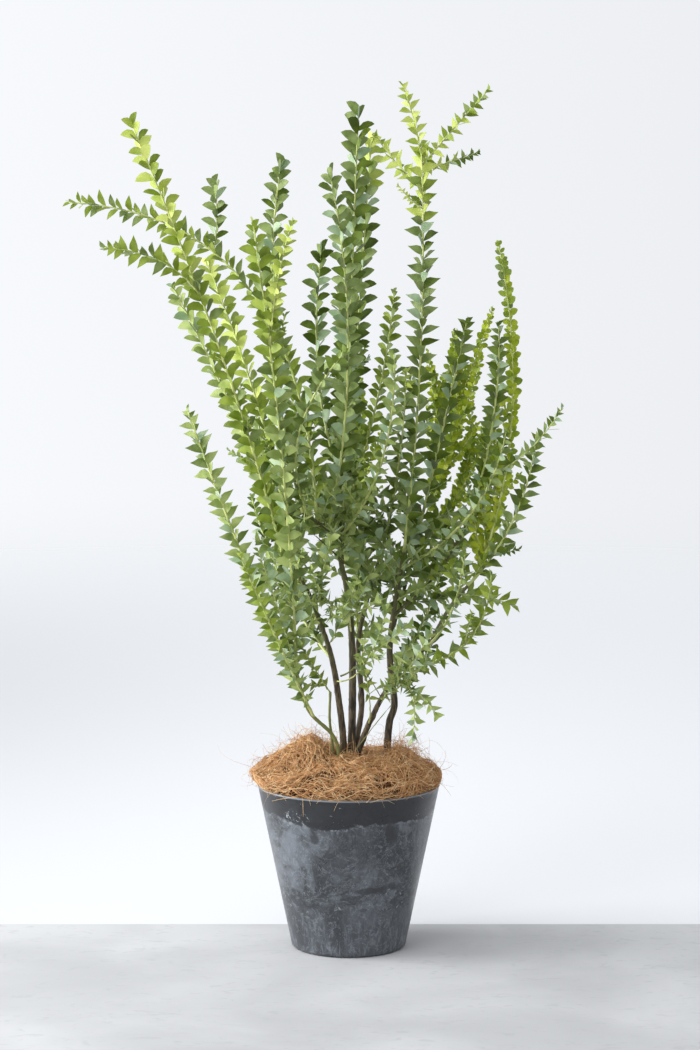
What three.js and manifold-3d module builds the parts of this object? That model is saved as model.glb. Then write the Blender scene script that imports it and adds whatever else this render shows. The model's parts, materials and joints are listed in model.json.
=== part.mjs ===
// Potted knife-leaf wattle: a many-stemmed shrub with long leafy wands, in a tapered round pot
// under a mound of coir mulch. Millimetres, +Z up. The origin is the centre of the pot's underside,
// and the front of the plant faces -Y.
import * as THREE from "three";
import { mergeVertices } from "three/addons/utils/BufferGeometryUtils.js";
import Module from "manifold-3d";

const wasm = await Module();
wasm.setup();

// Driving dimensions
const gap = 0.3; // clearance between solids that touch on the real plant
const pot = {
  rim: 140, // outer radius
  foot: 87.5, // outer radius at the ground, before its corner is rounded
  height: 253,
  wall: 6,
  floor: 10,
  corner: 6,
  lip: 3, // height of the lip
  proud: 0.4, // how far the lip stands out from the side
  underLip: 1.5, // height of the slope below the lip
  bevel: 0.9, // on the edges of the lip
  sides: 36,
};
const soilTop = 232;
const mulch = {
  dome: 43, // height of the mound above the rim at the middle
  spread: 143, // radius at which the dome would reach the rim's height
  edge: 136, // radius of the mound where it lies on the rim
  undercut: 1, // how far its underside starts in from that edge
  overhang: { left: 18, right: 6 }, // how much further out it bulges above the rim
  stemHole: 0.8, // clearance round each stem
  rings: [1, 0.95, 0.8, 0.6, 0.35, 0], // shares of the radius
  humps: [
    { x: -84, y: 8, height: 36, width: 42, depth: 62 },
    { x: 84, y: 0, height: 17, width: 30, depth: 52 },
  ],
};
const bark = {
  sides: 7,
  step: 46, // length between rings
  flare: 0.3, // share by which a stem widens where it meets the soil
  flareHeight: 22,
  fewestRings: 3,
};
const shoot = {
  foot: 2.3, // radius of a wand's stem where it leaves its limb
  tip: 1.3,
  side: 1.7, // radius of a side shoot at its foot
  sideBare: 10,
  bare: 30, // length at the foot with no leaves
  step: 85, // length between rings
  faces: 3,
};
const twig = {
  spacing: 400, // length of wand for each seeded side twig
  length: 72,
  lean: 0.75, // angle to the wand, in radians
  sag: 0.06, // share of its length that its middle hangs
  radius: 1.3,
  bare: 14,
  spread: 0.2, // share by which its length varies, either way
  tries: 6, // places tried for each
  first: 0.35, // least distance past the foot of its share of the wand, in shares
  wander: 0.6, // how much further it may be
  endShare: 0.3, // share of one spacing kept free at the wand's tip
};
const leaf = {
  length: 46,
  shoulder: 0.48, // share of the length where the blade is widest
  width: 0.52, // greatest width as a share of the length
  thick: 0.6,
  sunk: 0.3, // how far the root reaches past the stem's axis
  spacing: 44, // length of stem for each leaf
  spread: 0.1, // share by which a leaf's length varies, either way
  fall: 0.25, // share by which leaves are shorter towards the tip
  lean: 1.25, // angle between blade and stem, in radians
  roll: 0.3, // how far the blade may turn about its own length
  offMiddle: 0.45, // how far from the middle of a stem's face it may leave, in radians
  endRoot: 5, // distance from the end of the stem to the root of the last leaf
  endTurn: 1,
  endLean: 0.35,
  endShare: 0.75, // size of the last leaf
  clear: 1.5, // least distance to a limb, and from the half-way line between two masses
};
const leafTries = [1, 1, 1, 0.85, 0.85, 0.7]; // sizes a leaf is tried at, each further round the stem
const triedTurn = 1.1;
const sample = 9; // length between the points that stand for a shoot or limb
const goldenAngle = Math.PI * (3 - Math.sqrt(5));

// Limbs. A stem stands on the soil at its root, and a bough starts on its parent limb at a share of
// the parent's length. Each is one tapering limb along a few points, and its radius is given at the
// foot and at the tip.
const limbs = {
  trunk_main: {
    root: [1, 6],
    path: [[4, 0, 300], [5, 0, 473], [-4, 0, 560], [-12, 2, 598], [-10, 5, 656]],
    radius: [6.2, 2.9],
  },
  trunk_second: {
    root: [20, 17],
    path: [[11, 13, 299], [20, 21, 369], [15, 38, 467], [27, 52, 523], [45, 75, 584]],
    radius: [4.7, 2.5],
  },
  trunk_left: {
    root: [-17, -4],
    path: [[-8, -9, 303], [-15, -20, 385], [-27, -38, 458], [-60, -62, 557]],
    radius: [5.4, 2.6],
  },
  trunk_slant: {
    root: [4, -20],
    path: [[14, -19, 301], [43, -34, 377], [78, -52, 437], [91, -56, 450]],
    radius: [4.7, 3],
  },
  trunk_right: {
    root: [57, 16],
    path: [[59, 16, 293], [63, 17, 346], [70, 18, 368], [63, 24, 456], [84, 10, 609]],
    radius: [5.8, 2.6],
  },
  stem_low_left: {
    root: [-12, -32],
    path: [[-20, -33, 325], [-60, -52, 374], [-78, -65, 431]],
    radius: [3.1, 2.4],
  },
  stem_thin: {
    root: [-30, -18],
    path: [[-24, -22, 305], [-29, -30, 356], [-28, -36, 400]],
    radius: [2.3, 1.9],
  },
  bough_right: {
    parent: "trunk_slant", at: 1,
    path: [[123, -52, 478], [134, -48, 499], [156, -40, 535], [196, -20, 578]],
    radius: [2.8, 2.4],
  },
  bough_left: {
    parent: "trunk_main", at: 0.9,
    path: [[-31, -20, 646], [-69, -60, 677]],
    radius: [2.5, 2.3],
  },
  bough_back: {
    parent: "trunk_main", at: 0.83,
    path: [[-9, 35, 640], [-4, 85, 689]],
    radius: [2.5, 2.3],
  },
  bough_low_left: {
    parent: "trunk_left", at: 1,
    path: [[-73, -58, 578], [-98, -45, 607]],
    radius: [2.3, 2.2],
  },
  bough_back_right: {
    parent: "trunk_right", at: 0.64,
    path: [[92, 85, 564], [120, 160, 665]],
    radius: [2.8, 2.3],
  },
  bough_mid_right: {
    parent: "trunk_right", at: 0.73,
    path: [[134, 45, 569], [186, 45, 654]],
    radius: [2.6, 2.2],
  },
};

// Leafy wands, each one foliage mass: the limb it grows from, the share of the way up that limb,
// its tip, how far its middle bows away from a straight line, and the side shoots that leave it.
// A young wand is yellow-green.
const wands = {
  wand_left_low: {
    limb: "stem_low_left", at: 0.8, tip: [-245, -70, 845], bow: [-5, -30, 5],
  },
  wand_left_lowest: {
    limb: "stem_low_left", at: 0.66, tip: [-165, -150, 635], bow: [4, -20, -10],
  },
  wand_left_front: {
    limb: "stem_low_left", at: 1, tip: [-140, -190, 1125], bow: [10, -15, 0],
    shoots: [{ at: 0.74, tip: [-80, -235, 1115], bow: [-5, -5, 5] }],
  },
  wand_left_upright: {
    limb: "bough_left", at: 1, tip: [-100, 40, 1210], bow: [-30, 0, 5],
  },
  wand_far_left_arch: {
    limb: "bough_left", at: 0.68, tip: [-445, 90, 1140], bow: [88, 45, 115],
    shoots: [{ at: 0.66, tip: [-205, 60, 1165], bow: [5, 0, 0] }],
  },
  wand_far_left_tall: {
    limb: "bough_low_left", at: 1, tip: [-328, -60, 1272], bow: [18, -10, -10],
    shoots: [{ at: 0.6, tip: [-360, -100, 1075], bow: [15, -10, 15] }],
  },
  wand_left_back: {
    young: true,
    limb: "bough_low_left", at: 0.7, tip: [-225, 170, 1055], bow: [25, 20, -30],
  },
  wand_left_outer: {
    limb: "bough_low_left", at: 0.4, tip: [-275, 60, 1025], bow: [6, 15, 5],
  },
  wand_centre_curved: {
    limb: "bough_left", at: 0.86, tip: [5, -230, 940], bow: [-45, -10, 0],
  },
  wand_centre_back: {
    limb: "bough_back", at: 1, tip: [-40, 150, 1080], bow: [-25, 15, -15],
  },
  wand_centre_left: {
    limb: "bough_left", at: 0.42, tip: [-30, -100, 1195], bow: [30, -15, 0],
  },
  wand_centre_top: {
    limb: "trunk_main", at: 1, tip: [15, 30, 1290], bow: [0, 0, -10],
  },
  wand_centre_bright: {
    young: true,
    limb: "bough_back", at: 0.84, tip: [35, 120, 1245], bow: [0, -10, -5],
  },
  wand_centre_right: {
    limb: "bough_back", at: 0.64, tip: [70, 60, 1015], bow: [15, -10, 15],
  },
  wand_centre_front: {
    limb: "trunk_main", at: 0.95, tip: [65, -190, 935], bow: [25, -20, -15],
  },
  wand_second_front: {
    limb: "trunk_second", at: 1, tip: [85, -110, 905], bow: [10, 25, -10],
  },
  wand_right_top: {
    limb: "trunk_right", at: 1, tip: [108, -40, 1228], bow: [12, -25, 0],
    shoots: [
      { at: 0.985, tip: [80, -40, 1315], bow: [3, 0, 2] },
      { at: 0.975, tip: [205, -100, 1305], bow: [-5, 0, -4] },
      { at: 0.965, tip: [195, 20, 1215], bow: [-5, 0, -3] },
      { at: 0.92, tip: [40, 30, 1240], bow: [0, 5, -5] },
    ],
  },
  wand_right_inner: {
    limb: "bough_back_right", at: 0.5, tip: [185, 80, 975], bow: [5, -20, 20],
  },
  wand_rear_right: {
    young: true,
    limb: "bough_back_right", at: 1, tip: [135, 265, 880], bow: [15, 10, -10],
  },
  wand_rear_outer: {
    young: true,
    limb: "bough_back_right", at: 0.86, tip: [180, 205, 925], bow: [20, 10, -10],
  },
  wand_rear_low: {
    young: true,
    limb: "bough_back_right", at: 0.7, tip: [200, 260, 790], bow: [20, 5, -15],
  },
  wand_rear_middle: {
    young: true,
    limb: "bough_back", at: 0.44, tip: [20, 270, 800], bow: [10, 20, -15],
  },
  wand_rear_left: {
    limb: "trunk_second", at: 0.9, tip: [-110, 300, 930], bow: [-20, 40, -30],
  },
  wand_rear_left_side: {
    limb: "trunk_left", at: 0.82, tip: [-150, 265, 860], bow: [-20, 30, -30],
  },
  wand_rear_high: {
    limb: "trunk_second", at: 0.8, tip: [-20, 280, 1010], bow: [10, 50, -40],
  },
  wand_rear_right_side: {
    limb: "bough_mid_right", at: 0.6, tip: [235, 235, 925], bow: [25, 20, -25],
  },
  wand_left_side_low: {
    limb: "trunk_left", at: 0.66, tip: [-155, 145, 690], bow: [-10, 20, -20],
  },
  wand_right_side_low: {
    limb: "trunk_right", at: 0.5, tip: [160, 190, 640], bow: [15, 15, -20],
  },
  wand_rear_lowest: {
    limb: "trunk_second", at: 0.62, tip: [10, 185, 610], bow: [0, 15, -15],
  },
  wand_right_bright: {
    young: true,
    limb: "bough_right", at: 1, tip: [230, 130, 1085], bow: [38, 10, -15],
  },
  wand_right_mid: {
    limb: "bough_mid_right", at: 1, tip: [225, -20, 970], bow: [15, 0, 5],
  },
  wand_right_front: {
    limb: "trunk_right", at: 0.93, tip: [230, -190, 820], bow: [30, -20, -15],
    shoots: [{ at: 0.78, tip: [310, -190, 845], bow: [5, -10, -8] }],
  },
  wand_right_outer: {
    limb: "bough_right", at: 0.86, tip: [285, -10, 800], bow: [20, -10, -10],
  },
  wand_low_right: {
    limb: "trunk_slant", at: 0.93, tip: [210, -160, 610], bow: [35, -15, -30],
    shoots: [{ at: 0.5, tip: [180, -190, 545], bow: [0, -10, 5] }],
  },
  wand_low_right_front: {
    limb: "bough_right", at: 0.2, tip: [170, -220, 650], bow: [10, -15, -15],
  },
  spray_drooping: {
    limb: "trunk_slant", at: 0.82, tip: [135, -150, 375], bow: [5, -15, 15], leaf: 28,
    shoots: [
      { at: 0.4, tip: [95, -150, 352], bow: [5, -5, 12] },
      { at: 0.25, tip: [120, -110, 470], bow: [5, -5, 0] },
    ],
  },
  spray_thin: {
    limb: "stem_thin", at: 1, tip: [-75, -85, 485], bow: [5, 0, -10], leaf: 28,
  },
  spray_front_left: {
    limb: "trunk_main", at: 0.68, tip: [-55, -150, 610], bow: [-10, -5, -15], leaf: 28,
    shoots: [
      { at: 0.5, tip: [-70, -130, 560], bow: [0, -10, -5] },
      { at: 0.35, tip: [-25, -120, 525], bow: [0, -10, 0] },
    ],
  },
  spray_front: {
    limb: "trunk_main", at: 0.6, tip: [10, -160, 590], bow: [-5, -15, -5], leaf: 28,
    shoots: [
      { at: 0.5, tip: [45, -140, 555], bow: [0, -10, 0] },
      { at: 0.65, tip: [-15, -175, 545], bow: [0, -5, 5] },
    ],
  },
  spray_front_low: {
    limb: "trunk_left", at: 0.55, tip: [60, -150, 560], bow: [5, -25, -30], leaf: 28,
    shoots: [
      { at: 0.6, tip: [90, -150, 520], bow: [0, -5, 0] },
      { at: 0.4, tip: [25, -120, 500], bow: [0, -5, 0] },
    ],
  },
  spray_front_right: {
    limb: "trunk_slant", at: 0.68, tip: [80, -160, 485], bow: [5, -15, -5], leaf: 28,
    shoots: [{ at: 0.5, tip: [120, -170, 510], bow: [0, -10, -5] }],
  },
  spray_right: {
    limb: "trunk_right", at: 0.42, tip: [140, 90, 475], bow: [5, 0, -5], leaf: 28,
    shoots: [{ at: 0.4, tip: [120, 50, 510], bow: [0, 0, 0] }],
  },
  spray_foot: {
    limb: "trunk_slant", at: 0.5, tip: [22, -125, 458], bow: [5, -15, -5], leaf: 28,
  },
};

const finish = (color, roughness) => new THREE.MeshStandardMaterial({ color, roughness, metalness: 0 });
const finishes = {
  pot: finish("#474c52", 0.62),
  soil: finish("#33291f", 0.95),
  coir: finish("#a97b45", 0.95),
  bark: finish("#413428", 0.85),
  foliage: finish("#6f8f5c", 0.6),
  young: finish("#9fae58", 0.6),
};

// The same run of numbers from 0 to 1 for the same seed.
function dice(seed) {
  let state = seed >>> 0;
  return () => {
    state = (state + 0x6d2b79f5) >>> 0;
    let mixed = Math.imul(state ^ (state >>> 15), state | 1);
    mixed ^= mixed + Math.imul(mixed ^ (mixed >>> 7), mixed | 61);
    return ((mixed ^ (mixed >>> 14)) >>> 0) / 4294967296;
  };
}

const varied = (spread, roll) => 1 + spread * (2 * roll() - 1);

function solidOf(geometry) {
  geometry.deleteAttribute("normal");
  geometry.deleteAttribute("uv");
  const merged = mergeVertices(geometry);
  return new wasm.Manifold(new wasm.Mesh({
    numProp: 3,
    vertProperties: merged.attributes.position.array,
    triVerts: new Uint32Array(merged.index.array),
  }));
}

function geometryOf(solid) {
  const mesh = solid.getMesh();
  return new THREE.BufferGeometry()
    .setAttribute("position", new THREE.BufferAttribute(new Float32Array(mesh.vertProperties), 3))
    .setIndex(new THREE.BufferAttribute(new Uint32Array(mesh.triVerts), 1));
}

const joined = (solids) => solids.reduce((whole, piece) => whole.add(piece));
const largestBody = (solid) => solid.decompose().reduce((a, b) => (a.volume() > b.volume() ? a : b));
const named = (name, geometry, material) => {
  const mesh = new THREE.Mesh(geometry, material);
  mesh.name = name;
  return mesh;
};

// Pot, soil and mulch
const potSide = (z) => pot.foot + (pot.rim - pot.foot) * z / pot.height;
const bore = (z) => potSide(z) - pot.wall;
const turned = (profile) =>
  new THREE.LatheGeometry(profile.map(([r, z]) => new THREE.Vector2(r, z)), pot.sides).rotateX(Math.PI / 2);

function potGeometry() {
  const { corner, height, rim, lip, proud, underLip, bevel, wall, floor } = pot;
  const underside = potSide(corner) - corner;
  const lipFoot = height - lip - underLip;
  return turned([
    [0, 0],
    [underside, 0],
    [underside + Math.SQRT1_2 * corner, (1 - Math.SQRT1_2) * corner],
    [potSide(corner), corner],
    [potSide(lipFoot) - proud, lipFoot],
    [rim, height - lip],
    [rim, height - bevel],
    [rim - bevel, height],
    [rim - wall + bevel, height],
    [rim - wall, height - bevel],
    [bore(floor), floor],
    [0, floor],
  ]);
}

const soilGeometry = () => turned([
  [0, pot.floor + gap],
  [bore(pot.floor) - gap, pot.floor + gap],
  [bore(soilTop) - gap, soilTop],
  [0, soilTop],
]);

const mulchBase = pot.height + gap;
const domeHeight = (r) => mulchBase + mulch.dome * Math.sqrt(Math.max(0, 1 - (r / mulch.spread) ** 2));
const humpHeight = (x, y) => mulch.humps.reduce(
  (sum, hump) =>
    sum + hump.height * Math.exp(-(((x - hump.x) / hump.width) ** 2) - ((y - hump.y) / hump.depth) ** 2),
  0,
);
const mulchTop = (x, y) => domeHeight(Math.hypot(x, y)) + humpHeight(x, y);

function mulchGeometry() {
  const geometry = turned([
    [0, soilTop + gap],
    [bore(soilTop) - gap, soilTop + gap],
    [pot.rim - pot.wall - gap, mulchBase],
    [mulch.edge - mulch.undercut, mulchBase],
    ...mulch.rings.map((share) => [share * mulch.edge, domeHeight(share * mulch.edge)]),
  ]);
  const position = geometry.getAttribute("position");
  for (let i = 0; i < position.count; i++) {
    const [x, y, z] = [position.getX(i), position.getY(i), position.getZ(i)];
    if (z > mulchBase + gap) {
      const { left, right } = mulch.overhang;
      const bulge = (x < 0 ? left : right) * (x / mulch.edge) ** 3;
      position.setXYZ(i, x + bulge, y, z + humpHeight(x, y));
    }
  }
  return geometry;
}

// A cylinder whose rings are moved to a curve. `grown` stands off its surface all round, ends too,
// and `level` is the height of a flat cut at its foot.
function tapering(curve, radiusAt, { sides, rings, grown = 0, level }) {
  const geometry = new THREE.CylinderGeometry(1, 1, 1, sides, rings);
  const position = geometry.getAttribute("position");
  const frames = curve.computeFrenetFrames(rings);
  for (let i = 0; i < position.count; i++) {
    const ring = Math.round((position.getY(i) + 0.5) * rings);
    const radius = radiusAt(ring / rings) + grown;
    const past = ring === 0 ? -grown : ring === rings ? grown : 0;
    const place = curve.getPointAt(ring / rings)
      .addScaledVector(frames.tangents[ring], past)
      .addScaledVector(frames.binormals[ring], position.getX(i) * radius)
      .addScaledVector(frames.normals[ring], position.getZ(i) * radius);
    const cut = ring === 0 && level !== undefined;
    position.setXYZ(i, place.x, place.y, cut ? level : place.z);
  }
  return geometry;
}

// Limbs
const vector = (point) => new THREE.Vector3(...point);

function limbCurve(name) {
  const { parent, at, root, path } = limbs[name];
  const start = parent ? limbCurve(parent).getPointAt(at) : vector([...root, soilTop + gap]);
  return new THREE.CatmullRomCurve3([start, ...path.map(vector)]);
}

const curves = Object.fromEntries(Object.keys(limbs).map((name) => [name, limbCurve(name)]));

function limbRadius(name, share) {
  const { root, radius: [foot, tip] } = limbs[name];
  const up = share * curves[name].getLength();
  const flare = root ? bark.flare * foot * Math.exp(-up / bark.flareHeight) : 0;
  return foot + (tip - foot) * share + flare;
}

function limbSolid(name, grown = 0) {
  const curve = curves[name];
  return solidOf(tapering(curve, (share) => limbRadius(name, share), {
    sides: bark.sides,
    rings: Math.max(bark.fewestRings, Math.round(curve.getLength() / bark.step)),
    grown,
    level: limbs[name].root ? soilTop + gap - grown : undefined,
  }));
}

const grownLimbs = Object.fromEntries(Object.keys(limbs).map((name) => [name, limbSolid(name, gap)]));

function limbGeometry(name) {
  const solid = limbSolid(name);
  const { parent } = limbs[name];
  return geometryOf(parent ? largestBody(solid.subtract(grownLimbs[parent])) : solid);
}

// Foliage masses. A wand is one main shoot, its named side shoots and its seeded twigs. A stem ends
// short of the shoot's tip, and its last leaf reaches on to the tip.
const leafSize = (name) => wands[name].leaf ?? leaf.length;

function shootCurve(start, tip, bow, leafReach = 0) {
  const middle = start.clone().add(tip).multiplyScalar(0.5).addScaledVector(bow, 2);
  const end = tip.clone().add(middle.clone().sub(tip).setLength(leafReach));
  return new THREE.QuadraticBezierCurve3(start, middle, end);
}

// A shoot's stem as straight lengths between its rings, with the way each ring faces.
class Stem {
  constructor({ curve, foot }) {
    this.length = curve.getLength();
    this.rings = Math.max(1, Math.round(this.length / shoot.step));
    this.points = curve.getSpacedPoints(this.rings);
    this.frames = curve.computeFrenetFrames(this.rings);
    this.radius = (share) => foot + (shoot.tip - foot) * share;
  }

  at(share) {
    const ring = Math.min(this.rings - 1, Math.floor(share * this.rings));
    const part = share * this.rings - ring;
    const between = (list) => list[ring].clone().lerp(list[ring + 1], part);
    return {
      place: between(this.points),
      along: this.points[ring + 1].clone().sub(this.points[ring]).normalize(),
      normal: between(this.frames.normals).normalize(),
      binormal: between(this.frames.binormals).normalize(),
    };
  }

  solid() {
    const geometry = new THREE.CylinderGeometry(1, 1, 1, shoot.faces, this.rings);
    const position = geometry.getAttribute("position");
    for (let i = 0; i < position.count; i++) {
      const share = position.getY(i) + 0.5;
      const ring = Math.round(share * this.rings);
      const place = this.points[ring].clone()
        .addScaledVector(this.frames.binormals[ring], position.getX(i) * this.radius(share))
        .addScaledVector(this.frames.normals[ring], position.getZ(i) * this.radius(share));
      position.setXYZ(i, place.x, place.y, place.z);
    }
    return solidOf(geometry);
  }
}

function skeleton(name) {
  const { limb, at, tip, bow, shoots = [] } = wands[name];
  const reach = leaf.endShare * leafSize(name) - leaf.endRoot;
  const main = {
    curve: shootCurve(curves[limb].getPointAt(at), vector(tip), vector(bow), reach),
    foot: shoot.foot,
    bare: shoot.bare,
  };
  const stem = new Stem(main);
  return [
    main,
    ...shoots.map((side) => ({
      curve: shootCurve(stem.at(side.at).place, vector(side.tip), vector(side.bow), reach),
      foot: shoot.side,
      bare: shoot.sideBare,
    })),
  ];
}

const alongCurve = (curve) => curve.getSpacedPoints(Math.max(2, Math.round(curve.getLength() / sample)));
const masses = new Map(Object.keys(wands).map((name) => [name, skeleton(name)]));
const spaces = new Map(
  [...masses].map(([name, parts]) => [name, parts.flatMap(({ curve }) => alongCurve(curve))]),
);
const limbPoints = Object.entries(curves).flatMap(([name, curve]) =>
  alongCurve(curve).map((point, i, all) => ({ point, radius: limbRadius(name, i / (all.length - 1)) })));

const least = (distances) => distances.reduce((a, b) => Math.min(a, b), Infinity);
const nearest = (point, others) => least(others.map((other) => point.distanceTo(other)));

const clearOfOthers = (name, point) =>
  least([...spaces].map(([other, points]) => (other === name ? Infinity : nearest(point, points))));
const clearOfLimbs = (point) => least(limbPoints.map((limb) => point.distanceTo(limb.point) - limb.radius));
const clearOfMulch = (point) =>
  Math.hypot(point.x, point.y) > mulch.edge + mulch.overhang.left ||
  point.z > mulchTop(point.x, point.y) + leaf.clear;

// True where a point lies in the mass's own space, off every limb and the mulch.
const isFree = (name, point) =>
  clearOfLimbs(point) > leaf.clear &&
  clearOfMulch(point) &&
  clearOfOthers(name, point) - nearest(point, spaces.get(name)) > leaf.clear;

// The turn nearest to the one asked for that leaves a stem through the middle of one of its faces.
function throughFace(turn) {
  const face = 2 * Math.PI / shoot.faces;
  const middle = (Math.floor(turn / face) + 0.5) * face;
  return middle + THREE.MathUtils.clamp(turn - middle, -leaf.offMiddle, leaf.offMiddle);
}

function outward({ along, normal, binormal }, turn, lean) {
  return along.clone().multiplyScalar(Math.cos(lean))
    .addScaledVector(normal, Math.sin(lean) * Math.cos(turn))
    .addScaledVector(binormal, Math.sin(lean) * Math.sin(turn));
}

function addTwigs(name, roll) {
  const [main] = masses.get(name);
  const stem = new Stem(main);
  const count = Math.ceil(stem.length / twig.spacing);
  for (let i = 0; i < count; i++) {
    for (let attempt = 0; attempt < twig.tries; attempt++) {
      const frame = stem.at((i + twig.first + twig.wander * roll()) / (count + twig.endShare));
      const direction = outward(frame, throughFace(roll() * 2 * Math.PI), twig.lean);
      const length = twig.length * varied(twig.spread, roll);
      const tip = frame.place.clone().addScaledVector(direction, length);
      const curve = shootCurve(frame.place, tip, vector([0, 0, -twig.sag * length]));
      const points = alongCurve(curve);
      const apart = points.every((point) =>
        clearOfOthers(name, point) > leaf.length &&
        clearOfLimbs(point) > 2 * leaf.clear &&
        clearOfMulch(point));
      if (!apart) continue;
      masses.get(name).push({ curve, foot: twig.radius, bare: twig.bare, isTwig: true });
      spaces.get(name).push(...points);
      break;
    }
  }
}

// A blade lies in the plane of its own length and the stem's, turned a little about its length.
function bladeAt(frame, turn, lean, length, roll) {
  const direction = outward(frame, turn, lean);
  const up = frame.along.clone().addScaledVector(direction, -frame.along.dot(direction)).normalize()
    .applyAxisAngle(direction, roll);
  const root = frame.place.clone().addScaledVector(direction, -leaf.sunk);
  const shoulder = root.clone()
    .addScaledVector(direction, leaf.shoulder * length)
    .addScaledVector(up, leaf.width * length);
  return { root, direction, up, length, shoulder, tip: root.clone().addScaledVector(direction, length) };
}

function bladeSolid({ root, direction, up, length }) {
  const outline = new THREE.Shape([
    new THREE.Vector2(0, 0),
    new THREE.Vector2(length, 0),
    new THREE.Vector2(leaf.shoulder * length, leaf.width * length),
  ]);
  const blade = new THREE.ExtrudeGeometry(outline, { depth: leaf.thick, bevelEnabled: false });
  const place = new THREE.Matrix4().makeBasis(direction, up, direction.clone().cross(up)).setPosition(root);
  return solidOf(blade.translate(0, 0, -leaf.thick / 2).applyMatrix4(place));
}

function bladeIsFree(name, { tip, shoulder }) {
  const middle = shoulder.clone().lerp(tip, 0.5);
  return [tip, shoulder, middle].every((point) => isFree(name, point));
}

function leavesOn(name, stem, { bare, isTwig }, roll) {
  const size = leafSize(name);
  const start = roll() * 2 * Math.PI;
  const end = stem.length - (isTwig ? 0 : leaf.endRoot);
  const count = Math.max(1, Math.round((end - bare) / (leaf.spacing * size / leaf.length)));
  const blades = [];
  for (let i = 0; i < count; i++) {
    const share = (bare + (i + 0.5) / count * (end - bare)) / stem.length;
    const full = size * (1 - leaf.fall * share ** 3) * varied(leaf.spread, roll);
    const turned = leaf.roll * (2 * roll() - 1);
    for (const [attempt, scale] of leafTries.entries()) {
      const turn = throughFace(start + i * goldenAngle + attempt * triedTurn);
      const blade = bladeAt(stem.at(share), turn, leaf.lean, full * scale, turned);
      if (!bladeIsFree(name, blade)) continue;
      blades.push(blade);
      break;
    }
  }
  if (isTwig) return blades;
  // the last leaf carries the shoot on to its tip, and turns its broad side out
  const last = stem.at(1 - leaf.endRoot / stem.length);
  const turn = throughFace(start + leaf.endTurn);
  return [...blades, bladeAt(last, turn, leaf.endLean, leaf.endShare * size, Math.PI)];
}

function massGeometry(name, roll) {
  const pieces = masses.get(name).flatMap((part) => {
    const stem = new Stem(part);
    return [stem.solid(), ...leavesOn(name, stem, part, roll).map(bladeSolid)];
  });
  return geometryOf(largestBody(joined(pieces).subtract(grownLimbs[wands[name].limb])));
}

function mulchSolid() {
  const mound = solidOf(mulchGeometry());
  return Object.keys(limbs).filter((name) => limbs[name].root)
    .reduce((solid, name) => solid.subtract(limbSolid(name, mulch.stemHole)), mound);
}

// The plant in its pot
const potAndMulch = new THREE.Group();
potAndMulch.add(
  named("pot", potGeometry(), finishes.pot),
  named("soil", soilGeometry(), finishes.soil),
  named("coir_mulch", geometryOf(mulchSolid()), finishes.coir),
);

const stemsAndBoughs = new THREE.Group();
for (const name of Object.keys(limbs)) stemsAndBoughs.add(named(name, limbGeometry(name), finishes.bark));

const foliage = new THREE.Group();
const rolls = new Map(Object.keys(wands).map((name, i) => [name, dice(i + 1)]));
for (const [name, roll] of rolls) addTwigs(name, roll);
for (const [name, roll] of rolls)
  foliage.add(named(name, massGeometry(name, roll), wands[name].young ? finishes.young : finishes.foliage));

const plant = new THREE.Group();
plant.add(potAndMulch, stemsAndBoughs, foliage);
export default plant;
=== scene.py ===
"""A potted knife-leaf wattle: leafy wands on thin trunks, coir mulch and a charcoal pot."""

import json
from math import atan2, cos, exp, pi, radians, sin, sqrt, tau
from random import Random

import bmesh
import bpy
import numpy as np
from mathutils import Matrix, Vector, noise

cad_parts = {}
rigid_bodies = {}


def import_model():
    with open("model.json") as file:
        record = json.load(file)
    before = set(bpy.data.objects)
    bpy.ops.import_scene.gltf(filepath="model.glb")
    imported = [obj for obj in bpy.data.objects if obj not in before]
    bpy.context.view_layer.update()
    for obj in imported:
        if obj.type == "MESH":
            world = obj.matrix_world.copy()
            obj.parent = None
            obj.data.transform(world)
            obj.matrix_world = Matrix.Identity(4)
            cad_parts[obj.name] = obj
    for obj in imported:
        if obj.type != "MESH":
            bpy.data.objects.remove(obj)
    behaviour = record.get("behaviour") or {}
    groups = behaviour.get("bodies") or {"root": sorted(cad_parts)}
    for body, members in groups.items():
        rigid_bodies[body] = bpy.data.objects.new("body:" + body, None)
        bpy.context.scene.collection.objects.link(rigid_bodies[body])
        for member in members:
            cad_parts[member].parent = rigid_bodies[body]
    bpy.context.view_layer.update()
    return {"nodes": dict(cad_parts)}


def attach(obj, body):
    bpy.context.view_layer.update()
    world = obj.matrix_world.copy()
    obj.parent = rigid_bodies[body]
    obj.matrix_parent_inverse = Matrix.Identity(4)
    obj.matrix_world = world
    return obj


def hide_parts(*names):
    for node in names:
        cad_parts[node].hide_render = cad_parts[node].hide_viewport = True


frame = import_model()

# The pot and the plant are measured in millimetres. Finishes, floor, lights and camera are in metres.
MM = 0.001
GOLDEN_ANGLE = pi * (3 - sqrt(5))
WELD = 1e-6  # points of a mesh nearer than this, in metres, become one
SMOOTH_STEPS = 24  # points of a smooth line from each given point to the next
BOW_POINTS = 40
HEADING_SPAN = 0.01  # a line's heading is read over this share of it to each side of a place
ALONG_Y = 0.9  # a heading this near to the Y axis is squared up with the help of the X axis

# The pot and what fills it. Its rounded foot turns through an angle, and a groove runs under its lip.
POT = {
    "rim": 140, "foot": 87.5, "height": 253, "wall": 6, "floor": 20, "corner": 6, "corner_turn": 1.36,
    "groove": 0.35, "groove_drop": 4.8,
}
SOIL_TOP = 232
ROOT_LIFT = 1  # how far above the soil a stem starts
INSIDE_BEND = 8  # how far below the soil's top the wall's inside bends
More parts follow.
